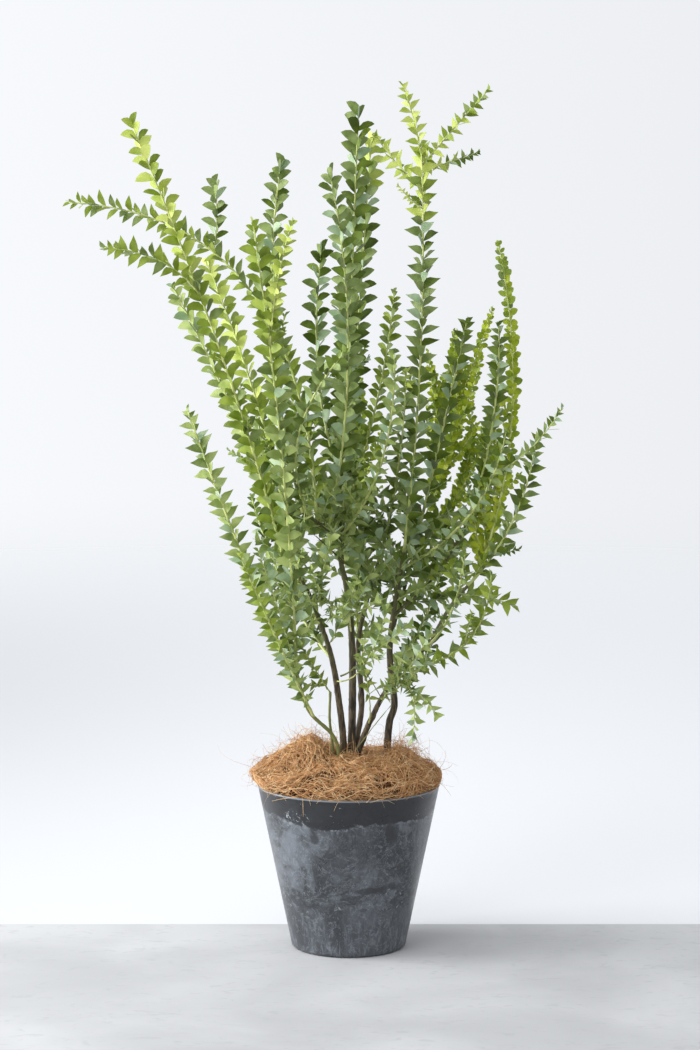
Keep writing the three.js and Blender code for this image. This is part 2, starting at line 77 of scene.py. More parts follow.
# The underside, as (in from the foot, height), and the lip over to its inside, as (in from the rim,
# below the rim)
POT_UNDERSIDE = [(14, 3), (12, 0.6), (10, 0)]
POT_LIP = [(0.15, 3), (0, 1.8), (0.5, 0.2), (1.2, 0), (4.6, 0), (5.6, 0.5), (6, 1.6)]
POT_SIDE = {"from": 10, "below_rim": 9, "points": 14}
CORNER_POINTS = 6
POT_FACETS = 128
POT_CREASE = 40
# Marks on the front of the pot, one of them a painted reflection of the window light: place across and
# up, half width and height, colour and strength
POT_PATCHES = [
    (0.064, 0.2, 0.012, 0.03, "2e3034", 0.85),
    (0.087, 0.212, 0.015, 0.021, "6d7379", 0.75),
    (-0.052, 0.2, 0.008, 0.022, "303236", 0.8),
    (0.03, 0.108, 0.028, 0.006, "2c2e32", 0.75),
    (0.068, 0.11, 0.016, 0.008, "2c2e32", 0.7),
    (-0.056, 0.082, 0.016, 0.006, "2c2e32", 0.6),
    (-0.1, 0.232, 0.014, 0.006, "7f858c", 0.6),
    (-0.088, 0.214, 0.012, 0.008, "8d939a", 0.45),
    (-0.088, 0.22, 0.006, 0.004, "b8bec5", 0.6),
    # A broad paler oval on the left of the front: painted reflection of the window light on the pot's
    # side
    (-0.088, 0.155, 0.028, 0.06, "7b8189", 0.42),
    (0.036, 0.024, 0.007, 0.008, "8a9096", 0.4),
    (0.02, 0.17, 0.014, 0.04, "3d4044", 0.5),
    (-0.015, 0.16, 0.02, 0.05, "3d4044", 0.35),
    (-0.075, 0.2, 0.02, 0.012, "7c828a", 0.4),
]
CHIPPED_PAINT = (-0.08, 0.221, 0.02, 0.012)
PATCH_EDGE = (3.1, 2.1)  # where a patch starts and is full, with its ragged edge added
PATCH_RAGGED = 4
# Zones of the pot's finish, by height: where each starts and where it is full
POT_ZONES = {
    "upper": (0.045, 0.105),
    "low": (0.085, 0.03),
    "chipped_from_below": (0.06, 0.085),
    "chipped_from_above": (0.125, 0.1),
    "band": (0.2435, 0.246),
    "line_from_below": (0.2405, 0.2435),
    "line_from_above": (0.2465, 0.2445),
    # the top of the rim, painted lighter as a highlight
    "rim": (0.2503, 0.2512),
}

# The mound of mulch: a dome that bulges over the rim on the left and right and is broken into clumps
MOUND = {
    "dome": 42, "spread": 143, "top": 122, "edge": 136, "left": 18, "right": 6, "rise": 19,
    "clump": 10, "clump_size": 21,
}
DOME_POINTS = 16
HUMPS = [
    {"x": -64, "y": 8, "height": 27, "width": 36, "depth": 60},
    {"x": 80, "y": 0, "height": 13, "width": 28, "depth": 52},
]
# The side of the mound down to the rim, as (radius, height above the rim)
MOUND_SIDE = [(128, 19), (133, 14), (136, 9), (136, 4), (133, 0), (129, -2)]

# The solid bed under the loose fibres, its buried underside as (radius, height), and its lumps as
# (size, height)
BED = {"sunk": 7, "out_to": 0.94, "rings": 24, "facets": 84}
BED_UNDERSIDE = [(0, SOIL_TOP + 2), (118, SOIL_TOP + 2), (127, POT["height"] - 2)]
BED_LUMPS = [(15, 3.5), (5, 1.5)]

# Loose fibres. One that lies on the mound arches and waves, and one that stands off it curls over.
COIR_SEED = 5
COIR_TONES = ("coir_dark", "coir_golden", "coir_straw")
FIBRE_STEPS = 9
FIBRE_FACETS = 3
EDGE = 0.98  # the share of the way out at which fibres turn and run round the rim
INMOST = 12  # the least radius that a turn round the middle is reckoned with
LYING = {"arch": 2.6, "wave": 0.8, "waves": 5, "thinner": 0.5, "unsteady": 0.2}
STANDING = {"sunk": 1, "upward": (0.3, 1.2), "sideways": 0.7, "thinner": 0.6, "sag": 0.05, "drift": 0.25}
# Locks lie anywhere on the mound, but some near its edge, and curl in a swirl about one place
LOCK_PLACES = {"near_edge": 0.24, "edge": (0.82, 0.98), "inner": 0.93}
SWIRL = {"centre": (-96, -60, 290), "radius": 62, "curl": 0.16}
ROUND_THE_RIM = {"beyond": 0.85, "share": 0.5, "varies": 0.35, "curl": 0.12}
LOOSE_CURL = 0.16
# Fibres lying deepest in a lock take the dark tone as painted shade
LOCKS = {
    "count": 460, "fibres": 7, "lift": (-7, 2.5), "length": (38, 90), "scatter": 0.02, "width": 3.5,
    "layers": 1.3, "fan": 0.3, "shares": (0.6, 1.2), "curl": 0.08, "thickness": (0.28, 0.58),
    "painted_shade_below": -3.4, "straw": 0.36,
}
STRANDS = {
    "count": 620, "length": (55, 125), "lift": (-1, 4.5), "curl": 0.1, "thickness": (0.42, 0.72),
    "unsteady": 0.07,
}
TUFTS = {
    "count": 1150, "out": (0.02, 0.92), "length": (14, 44), "curl": (0.5, 3.5),
    "thickness": (0.28, 0.48), "hump_scatter": 0.5, "hump_out": 0.95,
}
STRAYS = {
    "count": 460, "out": (0.4, 0.88), "least": 24, "longer": 20, "curl": (2, 6), "thickness": (0.2, 0.3),
}
# Fibres that hang over the front of the rim: across from and to, and how far down
RIM_STRAYS = [
    (-73, -116, 13), (-12, -22, 16), (46, 69, 8), (-69, -68, 28), (-60, -57, 9), (-104, -94, 7),
    (100, 113, 8), (12, 16, 5), (-40, -48, 5),
]
RIM_STRAY = {"points": 10, "above": 1.5, "off": 0.8, "bow": 2.5, "thickness": 0.28}

# A stem stands on the soil at its root, and a bough starts on its parent at a share of its length.
# The radius is given at the foot and at the tip.
LIMBS = {
    "trunk_main": {
        "root": (1, 6),
        "path": [(4, 0, 300), (5, 0, 473), (-4, 0, 560), (-12, 2, 598), (-10, 5, 656)],
        "radius": (6.2, 2.9),
    },
    "trunk_second": {
        "root": (20, 17),
        "path": [(11, 13, 299), (20, 21, 369), (15, 38, 467), (27, 52, 523), (45, 75, 584)],
        "radius": (4.7, 2.5),
    },
    "trunk_left": {
        "root": (-17, -4),
        "path": [(-8, -9, 303), (-15, -20, 385), (-27, -38, 458), (-60, -62, 557)],
        "radius": (5.4, 2.6),
    },
    "trunk_slant": {
        "root": (4, -20),
        "path": [(14, -19, 301), (43, -34, 377), (78, -52, 437), (91, -56, 450)],
        "radius": (4.7, 3.0),
    },
    "trunk_right": {
        "root": (57, 16),
        "path": [(59, 16, 293), (63, 17, 346), (70, 18, 368), (63, 24, 456), (84, 10, 609)],
        "radius": (5.8, 2.6),
    },
    "stem_low_left": {
        "root": (-12, -32),
        "path": [(-20, -33, 325), (-60, -52, 374), (-78, -65, 431)],
        "radius": (3.1, 2.4),
        "green": True,
    },
    "stem_thin": {
        "root": (-30, -18),
        "path": [(-24, -22, 305), (-29, -30, 356), (-28, -36, 400)],
        "radius": (2.3, 1.9),
        "green": True,
    },
    "bough_right": {
        "parent": "trunk_slant", "at": 1,
        "path": [(123, -52, 478), (134, -48, 499), (156, -40, 535), (196, -20, 578)],
        "radius": (2.8, 2.4),
    },
    "bough_left": {
        "parent": "trunk_main", "at": 0.9,
        "path": [(-31, -20, 646), (-69, -60, 677)],
        "radius": (2.5, 2.3),
    },
    "bough_back": {
        "parent": "trunk_main", "at": 0.83,
        "path": [(-9, 35, 640), (-4, 85, 689)],
        "radius": (2.5, 2.3),
    },
    "bough_low_left": {
        "parent": "trunk_left", "at": 1,
        "path": [(-73, -58, 578), (-98, -45, 607)],
        "radius": (2.3, 2.2),
    },
    "bough_back_right": {
        "parent": "trunk_right", "at": 0.64,
        "path": [(92, 85, 564), (120, 160, 665)],
        "radius": (2.8, 2.3),
    },
    "bough_mid_right": {
        "parent": "trunk_right", "at": 0.73,
        "path": [(134, 45, 569), (186, 45, 654)],
        "radius": (2.6, 2.2),
    },
}

# Each wand leaves a limb at a share of its length and bows a given way from a straight line to its
# tip. Its leaves have a form, a length and a tone, and "turns" says from what share of the wand
# another tone takes over. Side shoots may have their own. A "single" wand has no small twigs, a
# "blunt" one keeps large leaves at its tip, a "clumped" one has long twigs that hug it, and "bare"
# is the length without leaves or twigs at the foot, where it isn't the usual one.
# Wands in the soft tone have leaves painted lighter, as painted light for leaves in shade
WANDS = {
    "wand_left_low": {
        "limb": "stem_low_left", "at": 0.8, "tip": (-245, -70, 845), "bow": (-5, -30, 5),
        "leaf": 27, "tone": "soft", "form": "pointed", "single": True,
        "shoots": [{"at": 0.03, "tip": (-135, -100, 625), "bow": (6, -5, -6), "leaf": 20}],
    },
    "wand_left_lowest": {
        "limb": "stem_low_left", "at": 0.66, "tip": (-165, -150, 635), "bow": (4, -20, -10),
        "leaf": 21, "tone": "soft", "form": "pointed", "turns": (0.45, "fresh"), "single": True,
    },
    "wand_left_front": {
        "limb": "stem_low_left", "at": 1, "tip": (-140, -190, 1125), "bow": (10, -15, 0),
        "leaf": 27, "tone": "soft", "turns": (0.66, "fresh"),
        "shoots": [
            {"at": 0.74, "tip": (-80, -235, 1115), "bow": (-5, -5, 5), "tone": "young", "leaf": 19},
        ],
    },
    "wand_left_upright": {
        "limb": "bough_left", "at": 1, "tip": (-100, 40, 1210), "bow": (-30, 0, 5),
        "leaf": 26, "tone": "glaucous", "blunt": True,
    },
    "wand_far_left_arch": {
        "limb": "bough_left", "at": 0.68, "tip": (-445, 90, 1140), "bow": (88, 45, 115),
        "leaf": 27, "tone": "fresh", "form": "slender",
        "shoots": [
            {"at": 0.66, "tip": (-205, 60, 1165), "bow": (5, 0, 0), "tone": "glaucous",
             "form": "rounded", "leaf": 24, "blunt": True},
        ],
    },
    "wand_far_left_tall": {
        "limb": "bough_low_left", "at": 1, "tip": (-328, -60, 1272), "bow": (18, -10, -10),
        "leaf": 27, "tone": "fresh", "turns": (0.6, "young"), "blunt": True,
        "shoots": [
            {"at": 0.6, "tip": (-360, -100, 1075), "bow": (15, -10, 15), "form": "pointed"},
        ],
    },
    "wand_left_back": {
        "limb": "bough_low_left", "at": 0.7, "tip": (-225, 170, 1055), "bow": (25, 20, -30),
        "leaf": 26, "tone": "fresh", "turns": (0.5, "young"), "blunt": True,
    },
    "wand_left_outer": {
        "limb": "bough_low_left", "at": 0.4, "tip": (-275, 60, 1025), "bow": (6, 15, 5),
        "leaf": 26, "tone": "soft",
    },
    "wand_centre_curved": {
        "limb": "bough_left", "at": 0.86, "tip": (5, -230, 940), "bow": (-45, -10, 0),
        "leaf": 24, "tone": "glaucous",
    },
    "wand_centre_back": {
        "limb": "bough_back", "at": 1, "tip": (-40, 150, 1080), "bow": (-25, 15, -15),
        "leaf": 26, "tone": "deep", "blunt": True,
    },
    "wand_centre_left": {
        "limb": "bough_left", "at": 0.42, "tip": (-30, -100, 1195), "bow": (30, -15, 0),
        "leaf": 26, "tone": "glaucous", "blunt": True,
    },
    "wand_centre_top": {
        "limb": "trunk_main", "at": 1, "tip": (15, 30, 1290), "bow": (0, 0, -10),
        "leaf": 31, "tone": "deep", "blunt": True,
    },
    "wand_centre_bright": {
        "limb": "bough_back", "at": 0.84, "tip": (35, 120, 1245), "bow": (0, -10, -5),
        "leaf": 28, "tone": "deep", "turns": (0.9, "young"), "blunt": True,
    },
    "wand_centre_right": {
        "limb": "bough_back", "at": 0.64, "tip": (70, 60, 1015), "bow": (15, -10, 15),
        "leaf": 20, "tone": "fresh",
    },
    "wand_centre_front": {
        "limb": "trunk_main", "at": 0.95, "tip": (65, -190, 935), "bow": (25, -20, -15),
        "leaf": 22, "tone": "soft",
    },
    "wand_second_front": {
        "limb": "trunk_second", "at": 1, "tip": (85, -110, 905), "bow": (10, 25, -10),
        "leaf": 24, "tone": "glaucous", "turns": (0.88, "young"), "form": "pointed",
    },
    "wand_right_top": {
        "limb": "trunk_right", "at": 1, "tip": (108, -40, 1228), "bow": (12, -25, 0),
        "leaf": 30, "tone": "glaucous", "turns": (0.88, "young"), "form": "pointed", "blunt": True,
        "shoots": [
            {"at": 0.985, "tip": (80, -40, 1315), "bow": (3, 0, 2), "tone": "young", "leaf": 22},
            {"at": 0.975, "tip": (205, -100, 1305), "bow": (-5, 0, -4), "tone": "young", "leaf": 20,
             "turns": (0.7, "fresh")},
            {"at": 0.965, "tip": (195, 20, 1215), "bow": (-5, 0, -3), "tone": "young", "leaf": 18,
             "turns": (0.5, "deep")},
            {"at": 0.92, "tip": (40, 30, 1240), "bow": (0, 5, -5), "tone": "young", "leaf": 21},
            {"at": 0.87, "tip": (74, -50, 1165), "bow": (0, 0, -3), "tone": "young", "leaf": 12},
        ],
    },
    "wand_right_inner": {
        "limb": "bough_back_right", "at": 0.5, "tip": (185, 80, 975), "bow": (5, -20, 20),
        "leaf": 29, "tone": "deep", "form": "pointed",
    },
    "wand_rear_right": {
        "limb": "bough_back_right", "at": 1, "tip": (135, 265, 880), "bow": (15, 10, -10),
        "leaf": 12.5, "tone": "lime", "form": "round", "clumped": True,
    },
    "wand_rear_outer": {
        "limb": "bough_back_right", "at": 0.86, "tip": (180, 205, 925), "bow": (20, 10, -10),
        "leaf": 12.5, "tone": "lime", "form": "round", "clumped": True,
    },
    "wand_rear_low": {
        "limb": "bough_back_right", "at": 0.7, "tip": (200, 260, 790), "bow": (20, 5, -15),
        "leaf": 12.5, "tone": "lime", "form": "round", "clumped": True,
    },
    "wand_rear_middle": {
        "limb": "bough_back", "at": 0.44, "tip": (20, 270, 800), "bow": (10, 20, -15),
        "leaf": 13, "tone": "lime", "form": "round", "clumped": True,
    },
    "wand_rear_left": {
        "limb": "trunk_second", "at": 0.9, "tip": (-110, 300, 930), "bow": (-20, 40, -30),
        "leaf": 23, "tone": "deep",
    },
    "wand_rear_left_side": {
        "limb": "trunk_left", "at": 0.82, "tip": (-150, 265, 860), "bow": (-20, 30, -30),
        "leaf": 22, "tone": "glaucous",
    },
    "wand_rear_high": {
        "limb": "trunk_second", "at": 0.8, "tip": (-20, 280, 1010), "bow": (10, 50, -40),
        "leaf": 24, "tone": "deep",
    },
    "wand_rear_right_side": {
        "limb": "bough_mid_right", "at": 0.6, "tip": (235, 235, 925), "bow": (25, 20, -25),
        "leaf": 22, "tone": "glaucous",
    },
    "wand_left_side_low": {
        "limb": "trunk_left", "at": 0.66, "tip": (-155, 145, 690), "bow": (-10, 20, -20),
        "leaf": 19, "tone": "deep",
    },
    "wand_right_side_low": {
        "limb": "trunk_right", "at": 0.5, "tip": (160, 190, 640), "bow": (15, 15, -20),
        "leaf": 19, "tone": "deep",
    },
    "wand_rear_lowest": {
        "limb": "trunk_second", "at": 0.62, "tip": (10, 185, 610), "bow": (0, 15, -15),
        "leaf": 18, "tone": "olive",
    },
    "wand_right_bright": {
        "limb": "bough_right", "at": 1, "tip": (230, 130, 1085), "bow": (38, 10, -15),
        "leaf": 14, "tone": "lime", "form": "round", "turns": (0.85, "fresh"),
        "shoots": [
            {"at": 0.02, "tip": (186, 20, 690), "bow": (3, 5, -5)},
            {"at": 0.05, "tip": (206, 40, 755), "bow": (3, 5, -5)},
            {"at": 0.16, "tip": (226, 70, 820), "bow": (2, 5, -5)},
        ],
    },
    "wand_right_mid": {
        "limb": "bough_mid_right", "at": 1, "tip": (225, -20, 970), "bow": (15, 0, 5),
        "leaf": 24, "tone": "deep", "form": "pointed",
    },
    "wand_right_front": {
        "limb": "trunk_right", "at": 0.93, "tip": (230, -190, 820), "bow": (30, -20, -15),
        "leaf": 21, "tone": "glaucous",
        "shoots": [
            {"at": 0.78, "tip": (310, -190, 845), "bow": (5, -10, -8), "leaf": 18, "form": "pointed"},
        ],
    },
    "wand_right_outer": {
        "limb": "bough_right", "at": 0.86, "tip": (285, -10, 800), "bow": (20, -10, -10),
        "leaf": 25, "tone": "deep", "form": "pointed",
    },
    "wand_low_right": {
        "limb": "trunk_slant", "at": 0.93, "tip": (210, -160, 610), "bow": (35, -15, -30),
        "leaf": 24, "tone": "fresh", "form": "pointed", "single": True,
        "shoots": [{"at": 0.5, "tip": (180, -190, 545), "bow": (0, -10, 5), "leaf": 16}],
    },
    "wand_low_right_front": {
        "limb": "bough_right", "at": 0.2, "tip": (170, -220, 650), "bow": (10, -15, -15),
        "leaf": 22, "tone": "glaucous", "form": "pointed", "single": True, "bare": 60,
    },
    "spray_drooping": {
        "limb": "trunk_slant", "at": 0.82, "tip": (135, -150, 375), "bow": (5, -15, 15),
        "leaf": 18, "tone": "soft", "form": "pointed", "single": True,
        "shoots": [
            {"at": 0.4, "tip": (95, -150, 352), "bow": (5, -5, 12)},
            {"at": 0.25, "tip": (120, -110, 470), "bow": (5, -5, 0)},
        ],
    },
    "spray_thin": {
        "limb": "stem_thin", "at": 1, "tip": (-75, -85, 485), "bow": (5, 0, -10),
        "leaf": 17, "tone": "olive", "form": "pointed",
    },
    "spray_front_left": {
        "limb": "trunk_main", "at": 0.68, "tip": (-55, -150, 610), "bow": (-10, -5, -15),
        "leaf": 18, "tone": "soft", "form": "pointed",
        "shoots": [
            {"at": 0.5, "tip": (-70, -130, 560), "bow": (0, -10, -5)},
            {"at": 0.35, "tip": (-25, -120, 525), "bow": (0, -10, 0)},
            {"at": 0.6, "tip": (-25, -140, 645), "bow": (-4, -5, 0), "leaf": 19, "form": "rounded"},
        ],
    },
    "spray_front": {
        "limb": "trunk_main", "at": 0.6, "tip": (10, -160, 590), "bow": (-5, -15, -5),
        "leaf": 18, "tone": "soft", "form": "pointed", "bare": 95,
        "shoots": [
            {"at": 0.5, "tip": (45, -140, 555), "bow": (0, -10, 0)},
            {"at": 0.65, "tip": (-15, -175, 545), "bow": (0, -5, 5)},
        ],
    },
    "spray_front_low": {
        "limb": "trunk_left", "at": 0.55, "tip": (60, -150, 560), "bow": (5, -25, -30),
        "leaf": 18, "tone": "soft", "form": "pointed", "bare": 85,
        "shoots": [
            {"at": 0.6, "tip": (90, -150, 520), "bow": (0, -5, 0)},
            {"at": 0.4, "tip": (25, -120, 500), "bow": (0, -5, 0)},
        ],
    },
    "spray_front_right": {
        "limb": "trunk_slant", "at": 0.68, "tip": (80, -160, 485), "bow": (5, -15, -5),
        "leaf": 20, "tone": "soft", "form": "pointed",
        "shoots": [{"at": 0.5, "tip": (120, -170, 510), "bow": (0, -10, -5)}],
    },
    "spray_right": {
        "limb": "trunk_right", "at": 0.42, "tip": (140, 90, 475), "bow": (5, 0, -5),
        "leaf": 16, "tone": "deep", "single": True,
    },
    "spray_foot": {
        "limb": "trunk_slant", "at": 0.5, "tip": (22, -125, 458), "bow": (5, -15, -5),
        "leaf": 18, "tone": "olive", "form": "pointed", "single": True, "bare": 80,
    },
}

# Small leafy twigs on the limbs themselves: the limb, from and to a share of it, how many, their
# tone and their length
# The soft tone on many of these twigs is painted light: a lighter copy of the glaucous leaves for leaves
# in shade
LIMB_TWIGS = [
    ("trunk_main", 0.84, 1, 10, "soft", 75),
    ("trunk_main", 0.64, 0.84, 3, "soft", 60),
    ("trunk_second", 0.86, 1, 7, "soft", 75),
    ("trunk_second", 0.64, 0.84, 2, "soft", 65),
    ("trunk_left", 0.72, 1, 3, "soft", 70),
    ("trunk_left", 0.9, 1, 2, "soft", 95),
    ("trunk_right", 0.7, 1, 9, "glaucous", 75),
    ("trunk_right", 0.5, 0.7, 4, "soft", 60),
    ("trunk_slant", 0.12, 0.2, 1, "olive", 26),
    ("bough_right", 0.6, 0.95, 5, "fresh", 75),
    ("bough_left", 0.2, 1, 8, "soft", 80),
    ("bough_back", 0.2, 1, 10, "glaucous", 80),
    ("bough_low_left", 0.1, 1, 8, "soft", 75),
    ("bough_back_right", 0.1, 0.9, 10, "glaucous", 70),
    ("bough_mid_right", 0.1, 1, 11, "fresh", 70),
]

# Bare twigs low on the plant: the points they pass through, and their radius at the foot
BARE_TWIGS = [
    ([(17, 10, 438), (32, -15, 418), (48, -40, 395)], 0.9),
    ([(-2, 6, 590), (-22, -24, 612), (-50, -40, 640)], 1.2),
]
GREEN_TWIGS = [
    ([(12, -24, 310), (37, -60, 351), (64, -90, 390)], 0.9),
    ([(-12, -30, 424), (-1, -36, 430), (11, -40, 441), (21, -40, 454), (26, -38, 468)], 1.3),
]

# The two margins of a leaf, as its width above and below the line from root to tip, at shares of
# its length
LEAF_FORMS = {
    "round": [
        (0, 0, 0), (0.12, 0.28, 0.2), (0.38, 0.46, 0.32), (0.68, 0.42, 0.28), (0.9, 0.22, 0.13),
        (1, 0, 0),
    ],
    "rounded": [
        (0, 0, 0), (0.15, 0.27, 0.04), (0.4, 0.43, 0.07), (0.67, 0.4, 0.06), (0.89, 0.21, 0.03),
        (1, 0, 0),
    ],
    "pointed": [
        (0, 0, 0), (0.15, 0.26, 0.03), (0.38, 0.42, 0.06), (0.6, 0.34, 0.05), (0.82, 0.13, 0.02),
        (1, 0, 0),
    ],
    "slender": [
        (0, 0, 0), (0.15, 0.19, 0.03), (0.4, 0.33, 0.05), (0.63, 0.28, 0.04), (0.85, 0.12, 0.02),
        (1, 0, 0),
    ],
}
LEAF_THICKNESS = 0.018  # as a share of its length
LEAF_KEEL = 0.14  # how far the margins rise, as a share of their width
LEAF_RECURVE = 0.07  # how far the tip bends over
LEAF_WELD = 1e-4
LEAF_CREASE = 50

# The colours of each kind of leaf, from its darker to its lighter patches, and the tone that some
# of its neighbours take
LEAF_TONES = {
    "deep": ("455708", "6d8129", "glaucous"),
    "glaucous": ("5c6f2c", "8f9f60", "deep"),
    # soft: a lighter copy of the glaucous leaves, painted light for leaves low and deep in the crown,
    # where shade falls
    "soft": ("7c8f40", "adba74", "glaucous"),
    "fresh": ("6c7f17", "99aa43", "glaucous"),
    "young": ("9eae42", "bec86c", "fresh"),
    "lime": ("788a06", "b0bc30", "fresh"),
    "olive": ("6c7826", "9ba652", "glaucous"),
    # pale: the waxy bloom, partly a painted sheen that stands in for leaves facing the light
    "pale": ("8ba47c", "b7c9a6", "glaucous"),
}
MIXED = 0.25  # share of the leaves that take the neighbouring tone
WAXY_TONES = ("deep", "glaucous", "soft")
# The pale leaves show waxy bloom and also a painted sheen for leaves that face the light
PALE_SHEEN = 0.16  # share of the leaves in those tones that show a pale waxy face
CHANGE_VARIES = 0.05

# How leaves sit on their stem
LEAF_SPACING = 4.6  # along the stem, for a leaf of full size
SPACING_KEPT = 0.3  # share of the spacing that the smallest leaves keep
SPACING_VARIES = (0.85, 1.15)
FULL_LEAF = 24
LENGTH_VARIES = (0.86, 1.12)
WIDTH_VARIES = (0.88, 1.08)
GROWN_BY = 90  # how far from each end of its stem a leaf has its full size
FOOT_SIZE = 0.65  # share of the full size at the foot
TIP_SIZE = 0.5
BLUNT_TIP_SIZE = 0.88
LEAF_LEAN = 1.02  # angle between the leaf and its stem
FOLDED_LEAN = 0.5  # share of that angle at the tip
OPEN_BY = 25  # how far from the tip a leaf stands open
LEAN_VARIES = 0.1
TURN_VARIES = 0.12
LEAF_TWIST = 0.25
LEAF_SEAT = 0.6  # where a leaf starts, as a share of the stem's radius
TIP_LEAF = 0.6  # how far the last leaf reaches past the end of its stem, as a share of its length
BARE_END = 1

# Twigs: how far apart, over what share of their wand, how long, their lean, their sag and the most
# that their leaves measure
TWIGS = {
    "wand": {"spacing": 62, "reach": 0.5, "length": 55, "lean": 0.8, "sag": 0.05, "leaf": 18},
    "spray": {"spacing": 42, "reach": 0.7, "length": 55, "lean": 0.8, "sag": 0.05, "leaf": 19},
    "clumped": {"spacing": 24, "reach": 0.8, "length": 125, "lean": 0.24, "sag": 0.05, "leaf": 12},
}
LIMB_TWIG = {"length": 1, "lean": 0.95, "sag": -0.06, "leaf": 22}
TWIG_LEANS = (0.8, 1.2)
TWIG_LENGTHS = (0.55, 1.2)
TWIG_PLACES = (0.5, 1.2)  # where a twig leaves its wand, as a share of the spacing
LIMB_TWIG_LEAVES = (0.85, 1.15)
FOOT_TWIG = 1.1  # size of the twigs at the foot of a wand, from which they shrink towards its tip

# Stems: the radius at the foot and at the tip, and how far up they have no leaves
STEMS = {
    "wand": {"foot_radius": 2.5, "tip_radius": 1.1, "bare": 24},
    "spray": {"foot_radius": 1.3, "tip_radius": 0.6, "bare": 12},
    "clumped": {"foot_radius": 1.3, "tip_radius": 0.6, "bare": 24},
    "side": {"foot_radius": 1.5, "tip_radius": 0.7, "bare": 6},
    "twig": {"foot_radius": 0.9, "tip_radius": 0.5, "bare": 5},
    "limb_twig": {"foot_radius": 1.0, "tip_radius": 0.5, "bare": 7},
}
PLANT_SEED = 11
STEM_FACETS = 6
STEM_STEP = 9
LEAST_STEPS = 4
STEM_WOBBLE = 0.3
TRIMMED_STEPS = 60

# Limbs flare at the root, and their bark has long ridges, lumps and a few knots
LIMB_FACETS = 18
LIMB_STEP = 3
FLARE = {"share": 0.3, "fades_over": 22}
BARK_RELIEF = {
    "ridge": 0.38, "ridge_width": 2.2, "ridge_length": 14, "lump": 0.3, "lump_size": 8,
    "knot": 5, "knot_size": 17, "knot_from": 0.42,
}
BARE_TWIG_STEPS = 20
BARE_TWIG_TAPER = 0.4

# Bark: its darker and lighter tones, the green it takes on higher up, the heights between which it
# does, and how green it gets
BARKS = {
    "dark_bark": {
        "dark": "2b2419", "light": "64563f", "green": "666a3c", "heights": (0.46, 0.68),
        "greenness": 0.65,
    },
    "green_bark": {
        "dark": "443a22", "light": "776b45", "green": "7c8148", "heights": (0.3, 0.42),
        "greenness": 0.85,
    },
}
# Plain finishes: darker and lighter tone, scale of the grain, roughness, and the strength and depth
# of the bump
PLAIN_FINISHES = {
    "coir_shadow": ("351e0d", "694327", 90, 0.95, 0.8, 0.002),
    "coir_dark": ("613b1d", "8c5b33", 130, 0.75, 0.3, 0.0004),
    "coir_golden": ("b58150", "dba872", 130, 0.75, 0.3, 0.0004),
    "coir_straw": ("d3a570", "f4d5a6", 130, 0.75, 0.3, 0.0004),
    "wand_skin": ("a3b05a", "cbd08a", 60, 0.55, 0.2, 0.0003),
    "potting_soil": ("1d1610", "45372a", 160, 0.95, 0.8, 0.002),
}
LEAF_SURFACE = {
    "Specular IOR Level": 0.3, "Sheen Weight": 0.13, "Sheen Roughness": 0.4,
    "Subsurface Weight": 0.12, "Subsurface Radius": (0.6, 1.0, 0.25), "Subsurface Scale": 0.0015,
}
EVENLY = (0.3, 0.7)  # the span of a noise over which two tones pass evenly into each other

# The studio
FLOOR = {"half_width": 40, "below": 0.0005, "edge": (0.125, 0.128), "fades": (7, 1.5)}
SKY = {"colour": (0.935, 0.953, 0.98, 1), "left": 1.35, "right": 0.55}
LIGHTS = {
    "window_light": {"place": (-2.8, 0, 1.3), "size": 1.8, "power": 98},
    "high_light": {"place": (-1.2, -1.8, 3.0), "size": 1.5, "power": 25},
}
LIT_POINT = (0, 0, 0.7)
CAMERA = {"place": (0.002, -4.6, 1.18), "looks_down": 6.55, "lens": 104.3, "sensor": 36}


def tone_colour(code):
    """A colour code as the linear colour that a shader takes."""
    parts = [int(code[i:i + 2], 16) / 255 for i in (0, 2, 4)]
    return [c / 12.92 if c <= 0.04045 else ((c + 0.055) / 1.055) ** 2.4 for c in parts] + [1]


# Lines that limbs, wands and twigs follow
class Line:
    """A line through close points, read by the share of its length."""

    def __init__(self, points):
        self.points = np.array(points, float)
        steps = np.linalg.norm(np.diff(self.points, axis=0), axis=1)
        self.reached = np.concatenate([[0], np.cumsum(steps)])
        self.length = self.reached[-1]

    def at(self, share):
        s = share * self.length
        return Vector([np.interp(s, self.reached, self.points[:, k]) for k in range(3)])

    def heading(self, share):
        before, after = max(0, share - HEADING_SPAN), min(1, share + HEADING_SPAN)
        return (self.at(after) - self.at(before)).normalized()


def smooth_line(points):
    """A line that passes smoothly through a few points, with even turns whatever their spacing."""
    marks = [np.array(p, float) for p in points]
    marks = [2 * marks[0] - marks[1], *marks, 2 * marks[-1] - marks[-2]]
    line = []
    for a, b, c, d in zip(marks, marks[1:], marks[2:], marks[3:]):
        before, between, after = (sqrt(np.linalg.norm(q - p)) for p, q in ((a, b), (b, c), (c, d)))
        leaving = ((b - a) / before - (c - a) / (before + between) + (c - b) / between) * between
        arriving = ((c - b) / between - (d - b) / (between + after) + (d - c) / after) * between
        for t in np.linspace(0, 1, SMOOTH_STEPS, endpoint=False):
            bend = -3 * b + 3 * c - 2 * leaving - arriving
            twist = 2 * b - 2 * c + leaving + arriving
            line.append(b + leaving * t + bend * t * t + twist * t ** 3)
    return Line([*line, marks[-2]])


def bowed_line(start, tip, bow):
    """A line from start to tip whose middle stands off the straight way by the bow."""
    middle = (start + tip) / 2 + bow * 2
    return Line([
        start * (1 - t) ** 2 + middle * (2 * t * (1 - t)) + tip * t * t
        for t in np.linspace(0, 1, BOW_POINTS)
    ])


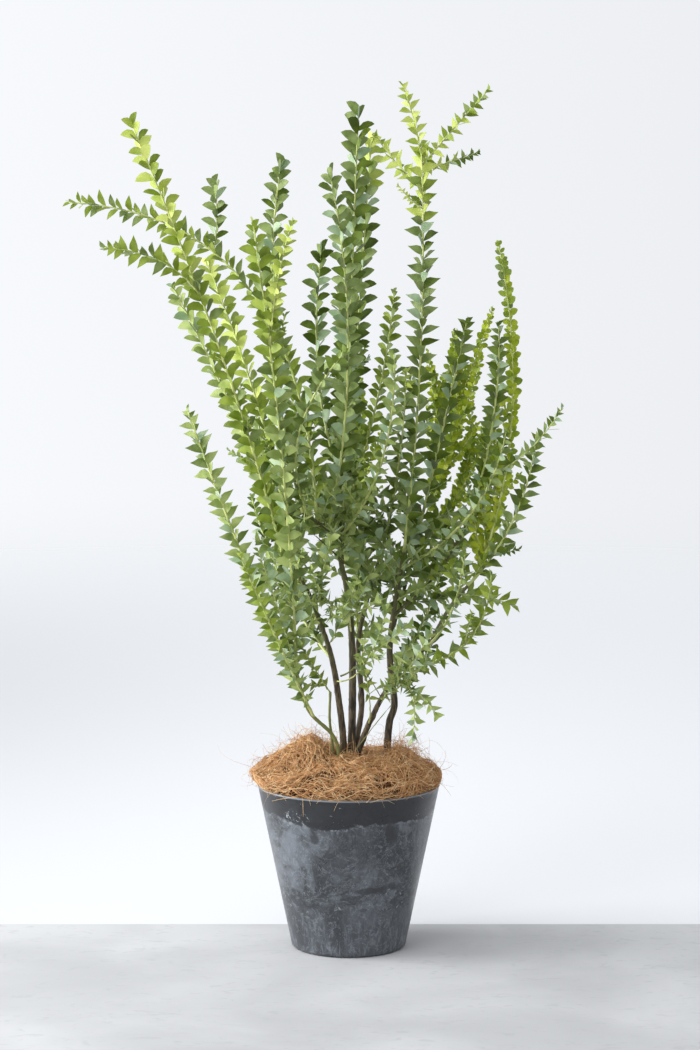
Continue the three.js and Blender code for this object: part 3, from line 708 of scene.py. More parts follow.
def limb_line(name):
    limb = LIMBS[name]
    if "parent" in limb:
        start = tuple(limb_line(limb["parent"]).at(limb["at"]))
    else:
        start = (*limb["root"], SOIL_TOP + ROOT_LIFT)
    return smooth_line([start, *limb["path"]])


limb_lines = {name: limb_line(name) for name in LIMBS}


# Making meshes
def object_of(name, mesh, material):
    piece = bpy.data.objects.new(name, mesh)
    bpy.context.scene.collection.objects.link(piece)
    mesh.materials.append(material)
    return piece


def from_bmesh(name, bm, material, crease=None):
    mesh = bpy.data.meshes.new(name)
    bm.to_mesh(mesh)
    bm.free()
    mesh.shade_smooth()
    if crease is not None:
        mesh.set_sharp_from_angle(angle=radians(crease))
    return object_of(name, mesh, material)


def ring_curve(facets):
    """A round section for tubes, with a radius of one."""
    section = bpy.data.curves.new("section", "CURVE")
    section.dimensions = "2D"
    ring = section.splines.new("POLY")
    ring.points.add(facets - 1)
    for i, point in enumerate(ring.points):
        point.co = (cos(tau * i / facets), -sin(tau * i / facets), 0, 1)
    ring.use_cyclic_u = True
    return section


def tubes(lines, facets):
    """Closed tubes along lines of (point, radius), in millimetres, as one bmesh in metres."""
    section = bpy.data.objects.new("section", ring_curve(facets))
    curve = bpy.data.curves.new("lines", "CURVE")
    curve.dimensions = "3D"
    curve.bevel_mode = "OBJECT"
    curve.bevel_object = section
    curve.use_fill_caps = True
    for line in lines:
        spline = curve.splines.new("POLY")
        spline.points.add(len(line) - 1)
        spline.points.foreach_set("co", [c for p, _ in line for c in (*(p * MM), 1)])
        spline.points.foreach_set("radius", [r * MM for _, r in line])
    drawn = bpy.data.objects.new("lines", curve)
    for helper in (section, drawn):
        bpy.context.scene.collection.objects.link(helper)
    depsgraph = bpy.context.evaluated_depsgraph_get()
    mesh = bpy.data.meshes.new_from_object(drawn.evaluated_get(depsgraph))
    bm = bmesh.new()
    bm.from_mesh(mesh)
    bmesh.ops.remove_doubles(bm, verts=bm.verts, dist=WELD)
    bmesh.ops.recalc_face_normals(bm, faces=bm.faces)
    for helper in (drawn, section):
        bpy.data.objects.remove(helper)
    return bm


def turned(profile, facets):
    """A profile of (radius, height) spun about the axis, in metres."""
    bm = bmesh.new()
    verts = [bm.verts.new((r * MM, 0, z * MM)) for r, z in profile]
    edges = [bm.edges.new(pair) for pair in zip(verts, verts[1:])]
    bmesh.ops.spin(
        bm, geom=verts + edges, cent=(0, 0, 0), axis=(0, 0, 1), angle=tau, steps=facets, use_merge=True,
    )
    bmesh.ops.remove_doubles(bm, verts=bm.verts, dist=WELD)
    bmesh.ops.recalc_face_normals(bm, faces=bm.faces)
    return bm


def leaf_form(margins):
    """A closed leaf a metre long, from its root at the origin to its tip along +X."""
    bm = bmesh.new()
    columns = len(margins) - 1
    bmesh.ops.create_grid(bm, x_segments=columns, y_segments=2, size=1)
    for vert in bm.verts:
        along, above, below = margins[round((vert.co.x + 1) / 2 * columns)]
        across = (-below, 0, above)[round(vert.co.y + 1)]
        vert.co = (along, across, LEAF_KEEL * abs(across) + LEAF_RECURVE * along * along)
    bmesh.ops.remove_doubles(bm, verts=bm.verts, dist=LEAF_WELD)
    bmesh.ops.solidify(bm, geom=bm.faces[:], thickness=LEAF_THICKNESS)
    bmesh.ops.recalc_face_normals(bm, faces=bm.faces)
    mesh = bpy.data.meshes.new("leaf_form")
    bm.to_mesh(mesh)
    bm.free()
    return mesh


def joined_copies(name, form, places, material):
    """One mesh of the form set down at each place, given as a matrix."""
    points = np.ones((len(form.vertices), 4))
    for i, vert in enumerate(form.vertices):
        points[i, :3] = vert.co
    placed = np.concatenate([points @ np.array(place).T for place in places])[:, :3]
    starts = np.array([face.loop_start for face in form.polygons])
    corners = np.array([loop.vertex_index for loop in form.loops])
    copies = len(places)
    mesh = bpy.data.meshes.new(name)
    mesh.vertices.add(len(placed))
    mesh.vertices.foreach_set("co", placed.ravel())
    mesh.loops.add(copies * len(corners))
    shift = np.repeat(np.arange(copies) * len(points), len(corners))
    mesh.loops.foreach_set("vertex_index", np.tile(corners, copies) + shift)
    mesh.polygons.add(copies * len(starts))
    turn = np.repeat(np.arange(copies) * len(corners), len(starts))
    mesh.polygons.foreach_set("loop_start", np.tile(starts, copies) + turn)
    mesh.update(calc_edges=True)
    mesh.validate()
    mesh.shade_smooth()
    mesh.set_sharp_from_angle(angle=radians(LEAF_CREASE))
    return object_of(name, mesh, material)


# Finishes
class Finish:
    """A material whose nodes are added one by one. A colour may be given as its code."""

    def __init__(self, name, roughness):
        self.material = bpy.data.materials.new(name)
        self.material.use_nodes = True
        self.tree = self.material.node_tree
        self.surface = self.tree.nodes["Principled BSDF"]
        self.surface.inputs["Roughness"].default_value = roughness
        self.coordinates = self.tree.nodes.new("ShaderNodeTexCoord").outputs["Object"]

    def set(self, socket, value):
        if isinstance(value, bpy.types.NodeSocket):
            self.tree.links.new(value, socket)
        elif isinstance(value, str):
            socket.default_value = tone_colour(value)
        else:
            socket.default_value = value

    def node(self, kind, output, inputs, **settings):
        node = self.tree.nodes.new("ShaderNode" + kind)
        for key, value in settings.items():
            setattr(node, key, value)
        for key, value in inputs.items():
            self.set(node.inputs[key], value)
        return node.outputs[output]

    def place(self, axis):
        return self.node("SeparateXYZ", axis, {"Vector": self.coordinates})

    def noise(self, scale, detail=3, distortion=0, stretch=None, harshness=0.5):
        vector = self.coordinates
        if stretch:
            vector = self.node("Mapping", "Vector", {"Vector": vector, "Scale": stretch})
        return self.node("TexNoise", "Fac", {
            "Vector": vector, "Scale": scale, "Detail": detail, "Distortion": distortion,
            "Roughness": harshness,
        })

    def ramp(self, value, low, high, to_low=0.0, to_high=1.0):
        """A smooth step from to_low to to_high as the value goes from low to high."""
        return self.node("MapRange", "Result", {
            "Value": value, "From Min": low, "From Max": high, "To Min": to_low, "To Max": to_high,
        }, interpolation_type="SMOOTHSTEP")

    def sum(self, a, b):
        return self.node("Math", 0, {0: a, 1: b}, operation="ADD")

    def product(self, a, b):
        return self.node("Math", 0, {0: a, 1: b}, operation="MULTIPLY")

    def mix(self, share, a, b):
        node = self.tree.nodes.new("ShaderNodeMix")
        node.data_type = "RGBA"
        for socket, value in zip((node.inputs[0], node.inputs[6], node.inputs[7]), (share, a, b)):
            self.set(socket, value)
        return node.outputs[2]

    def within(self, region, pattern, low, high, strength=1.0):
        """The share of a layer: a pattern's step up to a strength, kept within a region."""
        return self.product(region, self.ramp(pattern, low, high, 0, strength))

    def patch(self, x, z, wide, tall, ragged):
        """A ragged oval on the front of the pot, about a place across and up it."""
        over = self.product(self.sum(self.place("X"), -x), 1 / wide)
        up = self.product(self.sum(self.place("Z"), -z), 1 / tall)
        reach = self.sum(self.product(over, over), self.product(up, up))
        front = self.ramp(self.place("Y"), 0, -0.01)
        inside = self.ramp(self.sum(reach, self.product(ragged, PATCH_RAGGED)), *PATCH_EDGE)
        return self.product(front, inside)

    def colour(self, value):
        self.set(self.surface.inputs["Base Color"], value)

    def rough(self, value):
        self.set(self.surface.inputs["Roughness"], value)

    def bump(self, value, strength, depth):
        self.set(self.surface.inputs["Normal"], self.node("Bump", "Normal", {
            "Height": value, "Strength": strength, "Distance": depth,
        }))


def leaf_finish(name, dark, light):
    finish = Finish(name, 0.5)
    patches = finish.noise(42, detail=2)
    finish.colour(finish.mix(finish.ramp(patches, *EVENLY), dark, light))
    grain = finish.noise(700, detail=2)
    finish.rough(finish.ramp(grain, *EVENLY, to_low=0.42, to_high=0.58))
    finish.bump(grain, strength=0.25, depth=0.0003)
    for socket, value in LEAF_SURFACE.items():
        finish.surface.inputs[socket].default_value = value
    return finish.material


def pot_finish():
    """Charcoal with cloudy marbling, flecks and streaks under a smooth band below the rim, a painted
    reflection of the window light on the left of the front and a painted highlight along the top of the
    rim.
    """
    finish = Finish("charcoal_pot", 0.5)
    height = finish.place("Z")
    ragged = finish.noise(45, detail=8, distortion=0.6)
    clouds = finish.noise(10, detail=3, distortion=0.5)
    marbling = finish.noise(15, detail=14, distortion=1.6, harshness=0.66)
    grit = finish.noise(210, detail=8, distortion=0.8, harshness=0.7)
    flecks = finish.noise(85, detail=8, distortion=2.4)
    veining = finish.noise(26, detail=9, distortion=1.8, harshness=0.6)
    strokes = finish.noise(34, detail=6, distortion=0.6, stretch=(1, 1, 2.6))
    streaks = finish.noise(190, detail=7, distortion=0.3, stretch=(1, 1, 0.07), harshness=0.62)

    upper = finish.ramp(height, *POT_ZONES["upper"], to_low=0.2)
    low = finish.ramp(height, *POT_ZONES["low"])
    chipped = finish.within(
        finish.ramp(height, *POT_ZONES["chipped_from_below"]), height, *POT_ZONES["chipped_from_above"],
    )
    veins = finish.within(finish.ramp(veining, 0.5, 0.515), veining, 0.533, 0.518)
    body = finish.mix(finish.ramp(clouds, 0.36, 0.64), "393c40", "4f5358")
    for share, colour in [
        (finish.within(upper, marbling, 0.48, 0.6, strength=0.65), "696f76"),
        (finish.within(upper, marbling, 0.47, 0.37, strength=0.6), "2f3135"),
        (finish.within(upper, grit, 0.5, 0.68, strength=0.5), "7c8289"),
        (finish.within(upper, grit, 0.5, 0.33, strength=0.45), "2b2d31"),
        (finish.product(veins, 0.4), "9298a0"),
        (finish.within(chipped, strokes, 0.53, 0.58, strength=0.65), "303236"),
        (finish.within(finish.sum(chipped, 0.3), flecks, 0.64, 0.72, strength=0.7), "9aa0a7"),
        (finish.within(low, streaks, 0.5, 0.66, strength=0.65), "787e85"),
        (finish.within(low, streaks, 0.48, 0.36, strength=0.5), "3a3c40"),
        *[
            (finish.product(finish.patch(x, z, wide, tall, ragged), strength), colour)
            for x, z, wide, tall, colour, strength in POT_PATCHES
        ],
    ]:
        body = finish.mix(share, body, colour)

    # The band's lower edge wavers with the clouds, with a broken light line along it
    edge = finish.sum(finish.sum(height, finish.product(clouds, 0.045)), finish.product(ragged, 0.014))
    line = finish.within(
        finish.ramp(edge, *POT_ZONES["line_from_below"]), edge, *POT_ZONES["line_from_above"],
    )
    scuffs = finish.within(finish.ramp(flecks, 0.63, 0.7), clouds, 0.5, 0.58)
    band = finish.mix(finish.ramp(marbling, 0.4, 0.65, to_high=0.4), "26282c", "3a3e42")
    band = finish.mix(finish.product(scuffs, 0.6), band, "a3a9b0")
    whole = finish.mix(finish.ramp(edge, *POT_ZONES["band"]), body, band)
    chips = finish.within(finish.patch(*CHIPPED_PAINT, ragged), grit, 0.56, 0.62)
    whole = finish.mix(finish.product(chips, 0.8), whole, "b8bec5")
    whole = finish.mix(finish.within(line, flecks, 0.52, 0.64, strength=0.5), whole, "9aa0a7")
    # A painted highlight: the top of the rim is painted lighter
    rim = finish.ramp(height, *POT_ZONES["rim"], to_high=0.75)
    finish.colour(finish.mix(rim, whole, "868c93"))
    finish.rough(finish.ramp(marbling, 0.35, 0.65, to_low=0.27, to_high=0.42))
    relief = finish.sum(finish.product(flecks, 0.5), finish.product(grit, 0.4))
    finish.bump(relief, strength=0.2, depth=0.001)
    return finish.material


def bark_finish(name, dark, light, green, heights, greenness):
    """Ridged bark that turns green towards the top."""
    finish = Finish(name, 0.75)
    ridges = finish.noise(260, detail=4, distortion=0.5, stretch=(1, 1, 0.2))
    patches = finish.noise(30, detail=3, distortion=0.6)
    bark = finish.mix(finish.ramp(ridges, 0.36, 0.68), dark, light)
    grown = finish.ramp(finish.sum(finish.place("Z"), finish.product(patches, 0.16)), *heights)
    finish.colour(finish.mix(finish.product(grown, greenness), bark, green))
    finish.bump(ridges, strength=0.6, depth=0.0008)
    return finish.material


def plain_finish(name):
    """Two tones in fine patches, with a bump of the same grain."""
    dark, light, scale, roughness, strength, depth = PLAIN_FINISHES[name]
    finish = Finish(name, roughness)
    grain = finish.noise(scale, detail=4, distortion=0.3)
    finish.colour(finish.mix(finish.ramp(grain, *EVENLY), dark, light))
    finish.bump(grain, strength, depth)
    return finish.material


def floor_finish():
    """Pale scratched stone up to a straight far edge, with a paler ground behind it that fades out. The
    ground behind is painted darker on the left and near the pot, a painted shade that offsets the lamps'
    light there.
    """
    finish = Finish("pale_floor", 0.8)
    mottle = finish.noise(3.2, detail=6, distortion=0.5)
    scratches = finish.noise(60, detail=8, distortion=1.5, stretch=(0.5, 1, 1))
    stone = finish.mix(finish.ramp(mottle, *EVENLY), "b1b2b4", "c4c5c7")
    stone = finish.mix(finish.ramp(scratches, 0.56, 0.7, to_high=0.35), stone, "a2a3a5")
    behind = finish.place("Y")
    # Painted shade: the ground behind the edge is darker on the left and near the pot, where the lamps
    # light it most
    painted_shade_near = finish.mix(finish.ramp(finish.place("X"), -1.2, 0.3), "bec0c3", "e3e5e8")
    pale = finish.mix(finish.ramp(behind, 0.2, 6), painted_shade_near, "eef0f3")
    finish.colour(finish.mix(finish.ramp(behind, *FLOOR["edge"]), stone, pale))
    distance = finish.node("VectorMath", "Value", {0: finish.coordinates}, operation="LENGTH")
    finish.set(finish.surface.inputs["Alpha"], finish.ramp(distance, *FLOOR["fades"]))
    return finish.material


# Pot, soil and mulch
def pot_side(z):
    return POT["foot"] + (POT["rim"] - POT["foot"]) * z / POT["height"]


def make_pot():
    rim, height, corner, wall, floor = (POT[key] for key in ("rim", "height", "corner", "wall", "floor"))
    foot = pot_side(corner) - corner
    rounded = [
        (foot + corner * sin(a), corner * (1 - cos(a)))
        for a in np.linspace(0, POT["corner_turn"], CORNER_POINTS)
    ]
    side = [
        (pot_side(z), z)
        for z in np.linspace(POT_SIDE["from"], height - POT_SIDE["below_rim"], POT_SIDE["points"])
    ]
    groove = height - POT["groove_drop"]
    profile = [
        (0, POT_UNDERSIDE[0][1]), *[(foot - inward, z) for inward, z in POT_UNDERSIDE],
        *rounded, *side, (pot_side(groove) - POT["groove"], groove),
        *[(rim - inward, height - drop) for inward, drop in POT_LIP],
        (pot_side(SOIL_TOP) - wall, SOIL_TOP - INSIDE_BEND), (pot_side(floor) - wall, floor), (0, floor),
    ]
    return from_bmesh("pot_shell", turned(profile, POT_FACETS), pot_finish(), POT_CREASE)


def dome_height(r):
    return POT["height"] + MOUND["dome"] * sqrt(max(0, 1 - (r / MOUND["spread"]) ** 2))


def hump_height(x, y):
    return sum(
        h["height"] * exp(-(((x - h["x"]) / h["width"]) ** 2) - ((y - h["y"]) / h["depth"]) ** 2)
        for h in HUMPS
    )


def swelled(x, y, z):
    """A point of the plain round mound, moved by the humps, the clumps and the bulge over the rim."""
    share = min(1, max(0, (z - POT["height"]) / MOUND["rise"]))
    bulge = (MOUND["left"] if x < 0 else MOUND["right"]) * (x / MOUND["edge"]) ** 3
    clump = MOUND["clump"] * noise.noise(Vector((x, y, z)) / MOUND["clump_size"])
    return Vector((x + bulge * share, y, z + (hump_height(x, y) + clump) * share))


def mound_outline():
    """The mound from its middle out and down to the rim, as a line in the plane y = 0."""
    top = [(r, dome_height(r)) for r in np.linspace(0, MOUND["top"], DOME_POINTS)]
    side = [(r, POT["height"] + above) for r, above in MOUND_SIDE]
    return Line([(r, 0, z) for r, z in [*top, *side]])


outline = mound_outline()


def off_outline(share, lift):
    """The (radius, height) that stands off the mound's outline at a share of its length."""
    place, heading = outline.at(share), outline.heading(share)
    return place.x - heading.z * lift, place.z + heading.x * lift


def on_mound(share, angle, lift):
    """The point that stands off the mound at a share of the way from its middle to its rim."""
    r, z = off_outline(share, lift)
    return swelled(r * cos(angle), r * sin(angle), z)


def make_mound():
    """The body of the mulch, under its loose fibres."""
    rings = [off_outline(share, -BED["sunk"]) for share in np.linspace(BED["out_to"], 0, BED["rings"])]
    bm = turned([*BED_UNDERSIDE, *rings], BED["facets"])
    for vert in bm.verts:
        x, y, z = vert.co / MM
        if z > POT["height"]:
            lump = sum(noise.noise(Vector((x, y, z)) / size) * height for size, height in BED_LUMPS)
            vert.co = (swelled(x, y, z) + Vector((0, 0, lump))) * MM
    return from_bmesh("coir_bed", bm, plain_finish("coir_shadow"))


def lying_fibre(dice, start, heading, length, lift, curl, thickness, unsteady=LYING["unsteady"]):
    """A curly fibre that lies on the mound, as (point, radius)."""
    share, angle = start
    wave = dice.uniform(0, tau)
    points = []
    for i in range(FIBRE_STEPS + 1):
        t = i / FIBRE_STEPS
        up = lift + LYING["arch"] * sin(pi * t) + LYING["wave"] * sin(LYING["waves"] * t + wave)
        radius = thickness * (1 - LYING["thinner"] * abs(2 * t - 1))
        points.append((on_mound(share, angle, up), radius))
        heading += curl + dice.gauss(0, unsteady)
        step = length / FIBRE_STEPS
        share += cos(heading) * step / outline.length
        angle += sin(heading) * step / max(INMOST, outline.at(share).x)
        if share > EDGE:
            share = EDGE
            heading = pi / 2 if sin(heading) > 0 else -pi / 2
        elif share < 0:
            share, angle, heading = -share, angle + pi, pi - heading
    return points


def chance_step(dice, spread):
    """A step in a chance direction."""
    return Vector([dice.gauss(0, spread) for _ in range(3)])


def standing_fibre(dice, share, angle, length, curl, thickness):
    """A loose fibre that rises off the mound and curls over, as (point, radius)."""
    place = on_mound(share, angle, -STANDING["sunk"])
    up = (on_mound(share, angle, STANDING["sunk"]) - place).normalized()
    upward = dice.uniform(*STANDING["upward"])
    heading = (up * upward + chance_step(dice, STANDING["sideways"])).normalized()
    axis = heading.cross(chance_step(dice, 1)).normalized()
    points = []
    for i in range(FIBRE_STEPS + 1):
        points.append((place.copy(), thickness * (1 - STANDING["thinner"] * (i / FIBRE_STEPS))))
        place += heading * length / FIBRE_STEPS
        curled = Matrix.Rotation(curl / FIBRE_STEPS, 3, axis) @ heading
        heading = (curled - Vector((0, 0, STANDING["sag"]))).normalized()
        axis = (axis + chance_step(dice, STANDING["drift"])).normalized()
    return points


def rim_fibre(left, right, drop):
    """A fibre that hangs over the front of the rim, as (point, radius)."""
    points = []
    for t in np.linspace(0, 1, RIM_STRAY["points"]):
        x = left + (right - left) * t
        z = POT["height"] + RIM_STRAY["above"] - (drop + RIM_STRAY["above"]) * t * t
        r = pot_side(z) + RIM_STRAY["off"] + RIM_STRAY["bow"] * sin(pi * t)
        points.append((Vector((x, -sqrt(r * r - x * x), z)), RIM_STRAY["thickness"]))
    return points


def on_hump(dice):
    """A place on one of the humps, as the share of the way out and the angle."""
    hump = dice.choice(HUMPS)
    x = hump["x"] + dice.gauss(0, TUFTS["hump_scatter"]) * hump["width"]
    y = hump["y"] + dice.gauss(0, TUFTS["hump_scatter"]) * hump["depth"]
    return min(TUFTS["hump_out"], sqrt(x * x + y * y) / outline.length), atan2(y, x)


def lock_of(dice):
    """Where a lock of fibres starts, as a share of the way out and an angle, its way and its curl."""
    if dice.random() < LOCK_PLACES["near_edge"]:
        share = dice.uniform(*LOCK_PLACES["edge"])
    else:
        share = LOCK_PLACES["inner"] * sqrt(dice.random())
    angle = dice.uniform(0, tau)
    across = on_mound(share, angle, 0) - Vector(SWIRL["centre"])
    if across.length < SWIRL["radius"]:
        return share, angle, atan2(across.y, across.x) + pi / 2 - angle, SWIRL["curl"]
    if share > ROUND_THE_RIM["beyond"] or dice.random() < ROUND_THE_RIM["share"]:
        way = dice.choice((-1, 1)) * pi / 2 + dice.gauss(0, ROUND_THE_RIM["varies"])
        return share, angle, way, dice.gauss(0, ROUND_THE_RIM["curl"])
    return share, angle, dice.uniform(0, tau), dice.gauss(0, LOOSE_CURL)


def add_locks(dice, dark, golden, straw):
    """Locks of fibres that run together, the deepest ones dark as painted shade."""
    for _ in range(LOCKS["count"]):
        share, angle, way, curl = lock_of(dice)
        lift = dice.uniform(*LOCKS["lift"])
        length = dice.uniform(*LOCKS["length"])
        reach = max(INMOST, outline.at(share).x)
        for _ in range(LOCKS["fibres"]):
            out = min(EDGE, abs(share + dice.gauss(0, LOCKS["scatter"])))
            start = (out, angle + dice.gauss(0, LOCKS["width"]) / reach)
            above = lift + dice.gauss(0, LOCKS["layers"])
            # Fibres lying deep in the mat take the dark tone: painted shade
            if above < LOCKS["painted_shade_below"]:
                tone = dark
            else:
                tone = straw if dice.random() < LOCKS["straw"] else golden
            tone.append(lying_fibre(
                dice, start, way + dice.gauss(0, LOCKS["fan"]), length * dice.uniform(*LOCKS["shares"]),
                above, curl + dice.gauss(0, LOCKS["curl"]), dice.uniform(*LOCKS["thickness"]),
            ))


def make_coir():
    """Loose fibres in three tones, matted over the mound in locks, with strays above them."""
    dice = Random(COIR_SEED)
    tones = {name: [] for name in COIR_TONES}
    dark, golden, straw = tones.values()
    add_locks(dice, dark, golden, straw)
    for i in range(STRANDS["count"]):
        share, angle, way, curl = lock_of(dice)
        (golden if i % 2 else straw).append(lying_fibre(
            dice, (share, angle), way, dice.uniform(*STRANDS["length"]), dice.uniform(*STRANDS["lift"]),
            curl + dice.gauss(0, STRANDS["curl"]), dice.uniform(*STRANDS["thickness"]),
            STRANDS["unsteady"],
        ))
    for i in range(TUFTS["count"]):
        if i % 5 < 2:
            share, angle = on_hump(dice)
        else:
            share, angle = dice.uniform(*TUFTS["out"]), dice.uniform(0, tau)
        (golden if i % 2 else straw).append(standing_fibre(
            dice, share, angle, dice.uniform(*TUFTS["length"]), dice.uniform(*TUFTS["curl"]),
            dice.uniform(*TUFTS["thickness"]),
        ))
    for i in range(STRAYS["count"]):
        (golden if i % 3 else straw).append(standing_fibre(
            dice, dice.uniform(*STRAYS["out"]), dice.uniform(0, tau),
            STRAYS["least"] + dice.expovariate(1 / STRAYS["longer"]), dice.uniform(*STRAYS["curl"]),
            dice.uniform(*STRAYS["thickness"]),
        ))
    straw += [rim_fibre(*hanging) for hanging in RIM_STRAYS]
    return [
        from_bmesh(name, tubes(lines, FIBRE_FACETS), plain_finish(name)) for name, lines in tones.items()
    ]


# Stems and boughs
def limb_radius(name, line, share):
    foot, tip = LIMBS[name]["radius"]
    flare = 0
    if "root" in LIMBS[name]:
        flare = FLARE["share"] * foot * exp(-share * line.length / FLARE["fades_over"])
    return foot + (tip - foot) * share * share + flare


def bare_twig(points, foot):
    line = smooth_line(points)
    return [
        (line.at(i / BARE_TWIG_STEPS), foot * (1 - BARE_TWIG_TAPER * i / BARE_TWIG_STEPS))
        for i in range(BARE_TWIG_STEPS + 1)
    ]


def bark_height(place):
    """How far the bark stands out at a place on a limb."""
    wide, long = BARK_RELIEF["ridge_width"], BARK_RELIEF["ridge_length"]
    ridge = noise.noise(Vector((place.x / wide, place.y / wide, place.z / long)))
    knot = max(0, noise.noise(place / BARK_RELIEF["knot_size"]) - BARK_RELIEF["knot_from"])
    lump = noise.noise(place / BARK_RELIEF["lump_size"])
    return BARK_RELIEF["ridge"] * ridge + BARK_RELIEF["lump"] * lump + knot * BARK_RELIEF["knot"]


def make_limbs(name, limbs, bark, twigs):
    lines = [bare_twig(points, foot) for points, foot in twigs]
    for limb in limbs:
        line = limb_lines[limb]
        count = round(line.length / LIMB_STEP)
        lines.append([
            (line.at(i / count), limb_radius(limb, line, i / count)) for i in range(count + 1)
        ])
    bm = tubes(lines, LIMB_FACETS)
    bm.normal_update()
    moves = [vert.normal * bark_height(vert.co / MM) * MM for vert in bm.verts]
    for vert, move in zip(bm.verts, moves):
        vert.co += move
    return from_bmesh(name, bm, bark_finish(bark, **BARKS[bark]))


# Wands, twigs and leaves
def side_frame(heading):
    """Two directions square to a stem and to each other."""
    aid = Vector((0, 1, 0)) if abs(heading.y) < ALONG_Y else Vector((1, 0, 0))
    first = (aid - heading * aid.dot(heading)).normalized()
    return first, heading.cross(first)


def outward(heading, turn, lean):
    """The direction that leans out from a stem's heading, at a turn about it."""
    first, second = side_frame(heading)
    return heading * cos(lean) + (first * cos(turn) + second * sin(turn)) * sin(lean)


def stem_radius(shoot, share):
    return shoot["foot_radius"] + (shoot["tip_radius"] - shoot["foot_radius"]) * share


def leaf_tone(shoot, share, dice):
    tone = shoot["tone"]
    if "turns" in shoot:
        change, later = shoot["turns"]
        if share > change + dice.gauss(0, CHANGE_VARIES):
            tone = later
    # Some waxy leaves take the pale tone: waxy bloom, partly a painted sheen for leaves facing the light
    if tone in WAXY_TONES and dice.random() < PALE_SHEEN:
        return "pale"
    return LEAF_TONES[tone][2] if dice.random() < MIXED else tone


def grow_leaves(shoot, dice, leaves):
    """Leaves in a spiral up a shoot, smaller and closer together towards its tip."""
    line, size = shoot["line"], shoot["leaf"]
    along = shoot["bare"]
    turn = dice.uniform(0, tau)
    least = BLUNT_TIP_SIZE if shoot.get("blunt") else TIP_SIZE
    while along < line.length - BARE_END:
        share = along / line.length
        to_tip = line.length - along
        full = min(1, least + to_tip / GROWN_BY) * min(1, FOOT_SIZE + along / GROWN_BY)
        length = size * full * dice.uniform(*LENGTH_VARIES)
        heading = line.heading(share)
        opened = FOLDED_LEAN + (1 - FOLDED_LEAN) * min(1, to_tip / OPEN_BY)
        direction = outward(heading, turn, LEAF_LEAN * opened + dice.gauss(0, LEAN_VARIES))
        up = (heading - direction * heading.dot(direction)).normalized()
        up = Matrix.Rotation(dice.gauss(0, LEAF_TWIST), 3, direction) @ up
        root = line.at(share) + direction * stem_radius(shoot, share) * LEAF_SEAT
        axes = (direction, up * dice.uniform(*WIDTH_VARIES), direction.cross(up))
        place = Matrix([
            [*(axis[row] * length * MM for axis in axes), root[row] * MM] for row in range(3)
        ])
        leaves[(leaf_tone(shoot, share, dice), shoot["form"])].append(place.to_4x4())
        spacing = LEAF_SPACING * (SPACING_KEPT + (1 - SPACING_KEPT) * size * full / FULL_LEAF)
        along += spacing * dice.uniform(*SPACING_VARIES)
        turn += GOLDEN_ANGLE + dice.gauss(0, TURN_VARIES)


def twig_on(line, share, kind, turn, dice, size):
    """The line of a twig that leaves a stem or limb at a share of its length."""
    direction = outward(line.heading(share), turn, kind["lean"] * dice.uniform(*TWIG_LEANS))
    length = kind["length"] * dice.uniform(*TWIG_LENGTHS) * size
    foot = line.at(share)
    return bowed_line(foot, foot + direction * length, Vector((0, 0, -kind["sag"] * length)))


def shoots_of(name, dice):
    """The main shoot of a wand, its side shoots and its twigs."""
    wand = WANDS[name]
    kind = "spray" if name.startswith("spray") else "clumped" if wand.get("clumped") else "wand"
    line = bowed_line(limb_lines[wand["limb"]].at(wand["at"]), Vector(wand["tip"]), Vector(wand["bow"]))
    trimmed = 1 - TIP_LEAF * wand["leaf"] / line.length
    line = Line([line.at(trimmed * i / TRIMMED_STEPS) for i in range(TRIMMED_STEPS + 1)])
    common = {"tone": wand["tone"], "form": wand.get("form", "rounded"), "leaf": wand["leaf"]}
    if kind == "spray":
        common["blunt"] = True
    main = {**STEMS[kind], **common, **wand, "line": line}
    shoots = [main]
    for side in wand.get("shoots", []):
        side_line = bowed_line(line.at(side["at"]), Vector(side["tip"]), Vector(side["bow"]))
        shoots.append({**STEMS["side"], **common, **side, "line": side_line})
    if wand.get("single"):
        return shoots
    twig = TWIGS[kind]
    turn = dice.uniform(0, tau)
    for i in range(int(line.length * twig["reach"] / twig["spacing"])):
        share = (i + dice.uniform(*TWIG_PLACES)) * twig["spacing"] / line.length
        turn += GOLDEN_ANGLE
        if share * line.length < main["bare"]:
            continue
        twig_line = twig_on(line, share, twig, turn, dice, FOOT_TWIG - share if kind == "wand" else 1)
        leaf = min(twig["leaf"], wand["leaf"])
        shoots.append({**STEMS["twig"], **common, "leaf": leaf, "line": twig_line})
    return shoots


def limb_twigs(limb, first, last, count, tone, length, dice):
    line = limb_lines[limb]
    turn = dice.uniform(0, tau)
    twigs = []
    for i in range(count):
        share = first + (last - first) * (i + dice.random()) / count
        turn += GOLDEN_ANGLE
        twig_line = twig_on(line, share, LIMB_TWIG, turn, dice, length)
        form = dice.choice(["rounded", "pointed"])
        leaf = LIMB_TWIG["leaf"] * dice.uniform(*LIMB_TWIG_LEAVES)
        twigs.append({
            **STEMS["limb_twig"], "tone": tone, "form": form, "leaf": leaf, "line": twig_line,
            "blunt": True,
        })
    return twigs


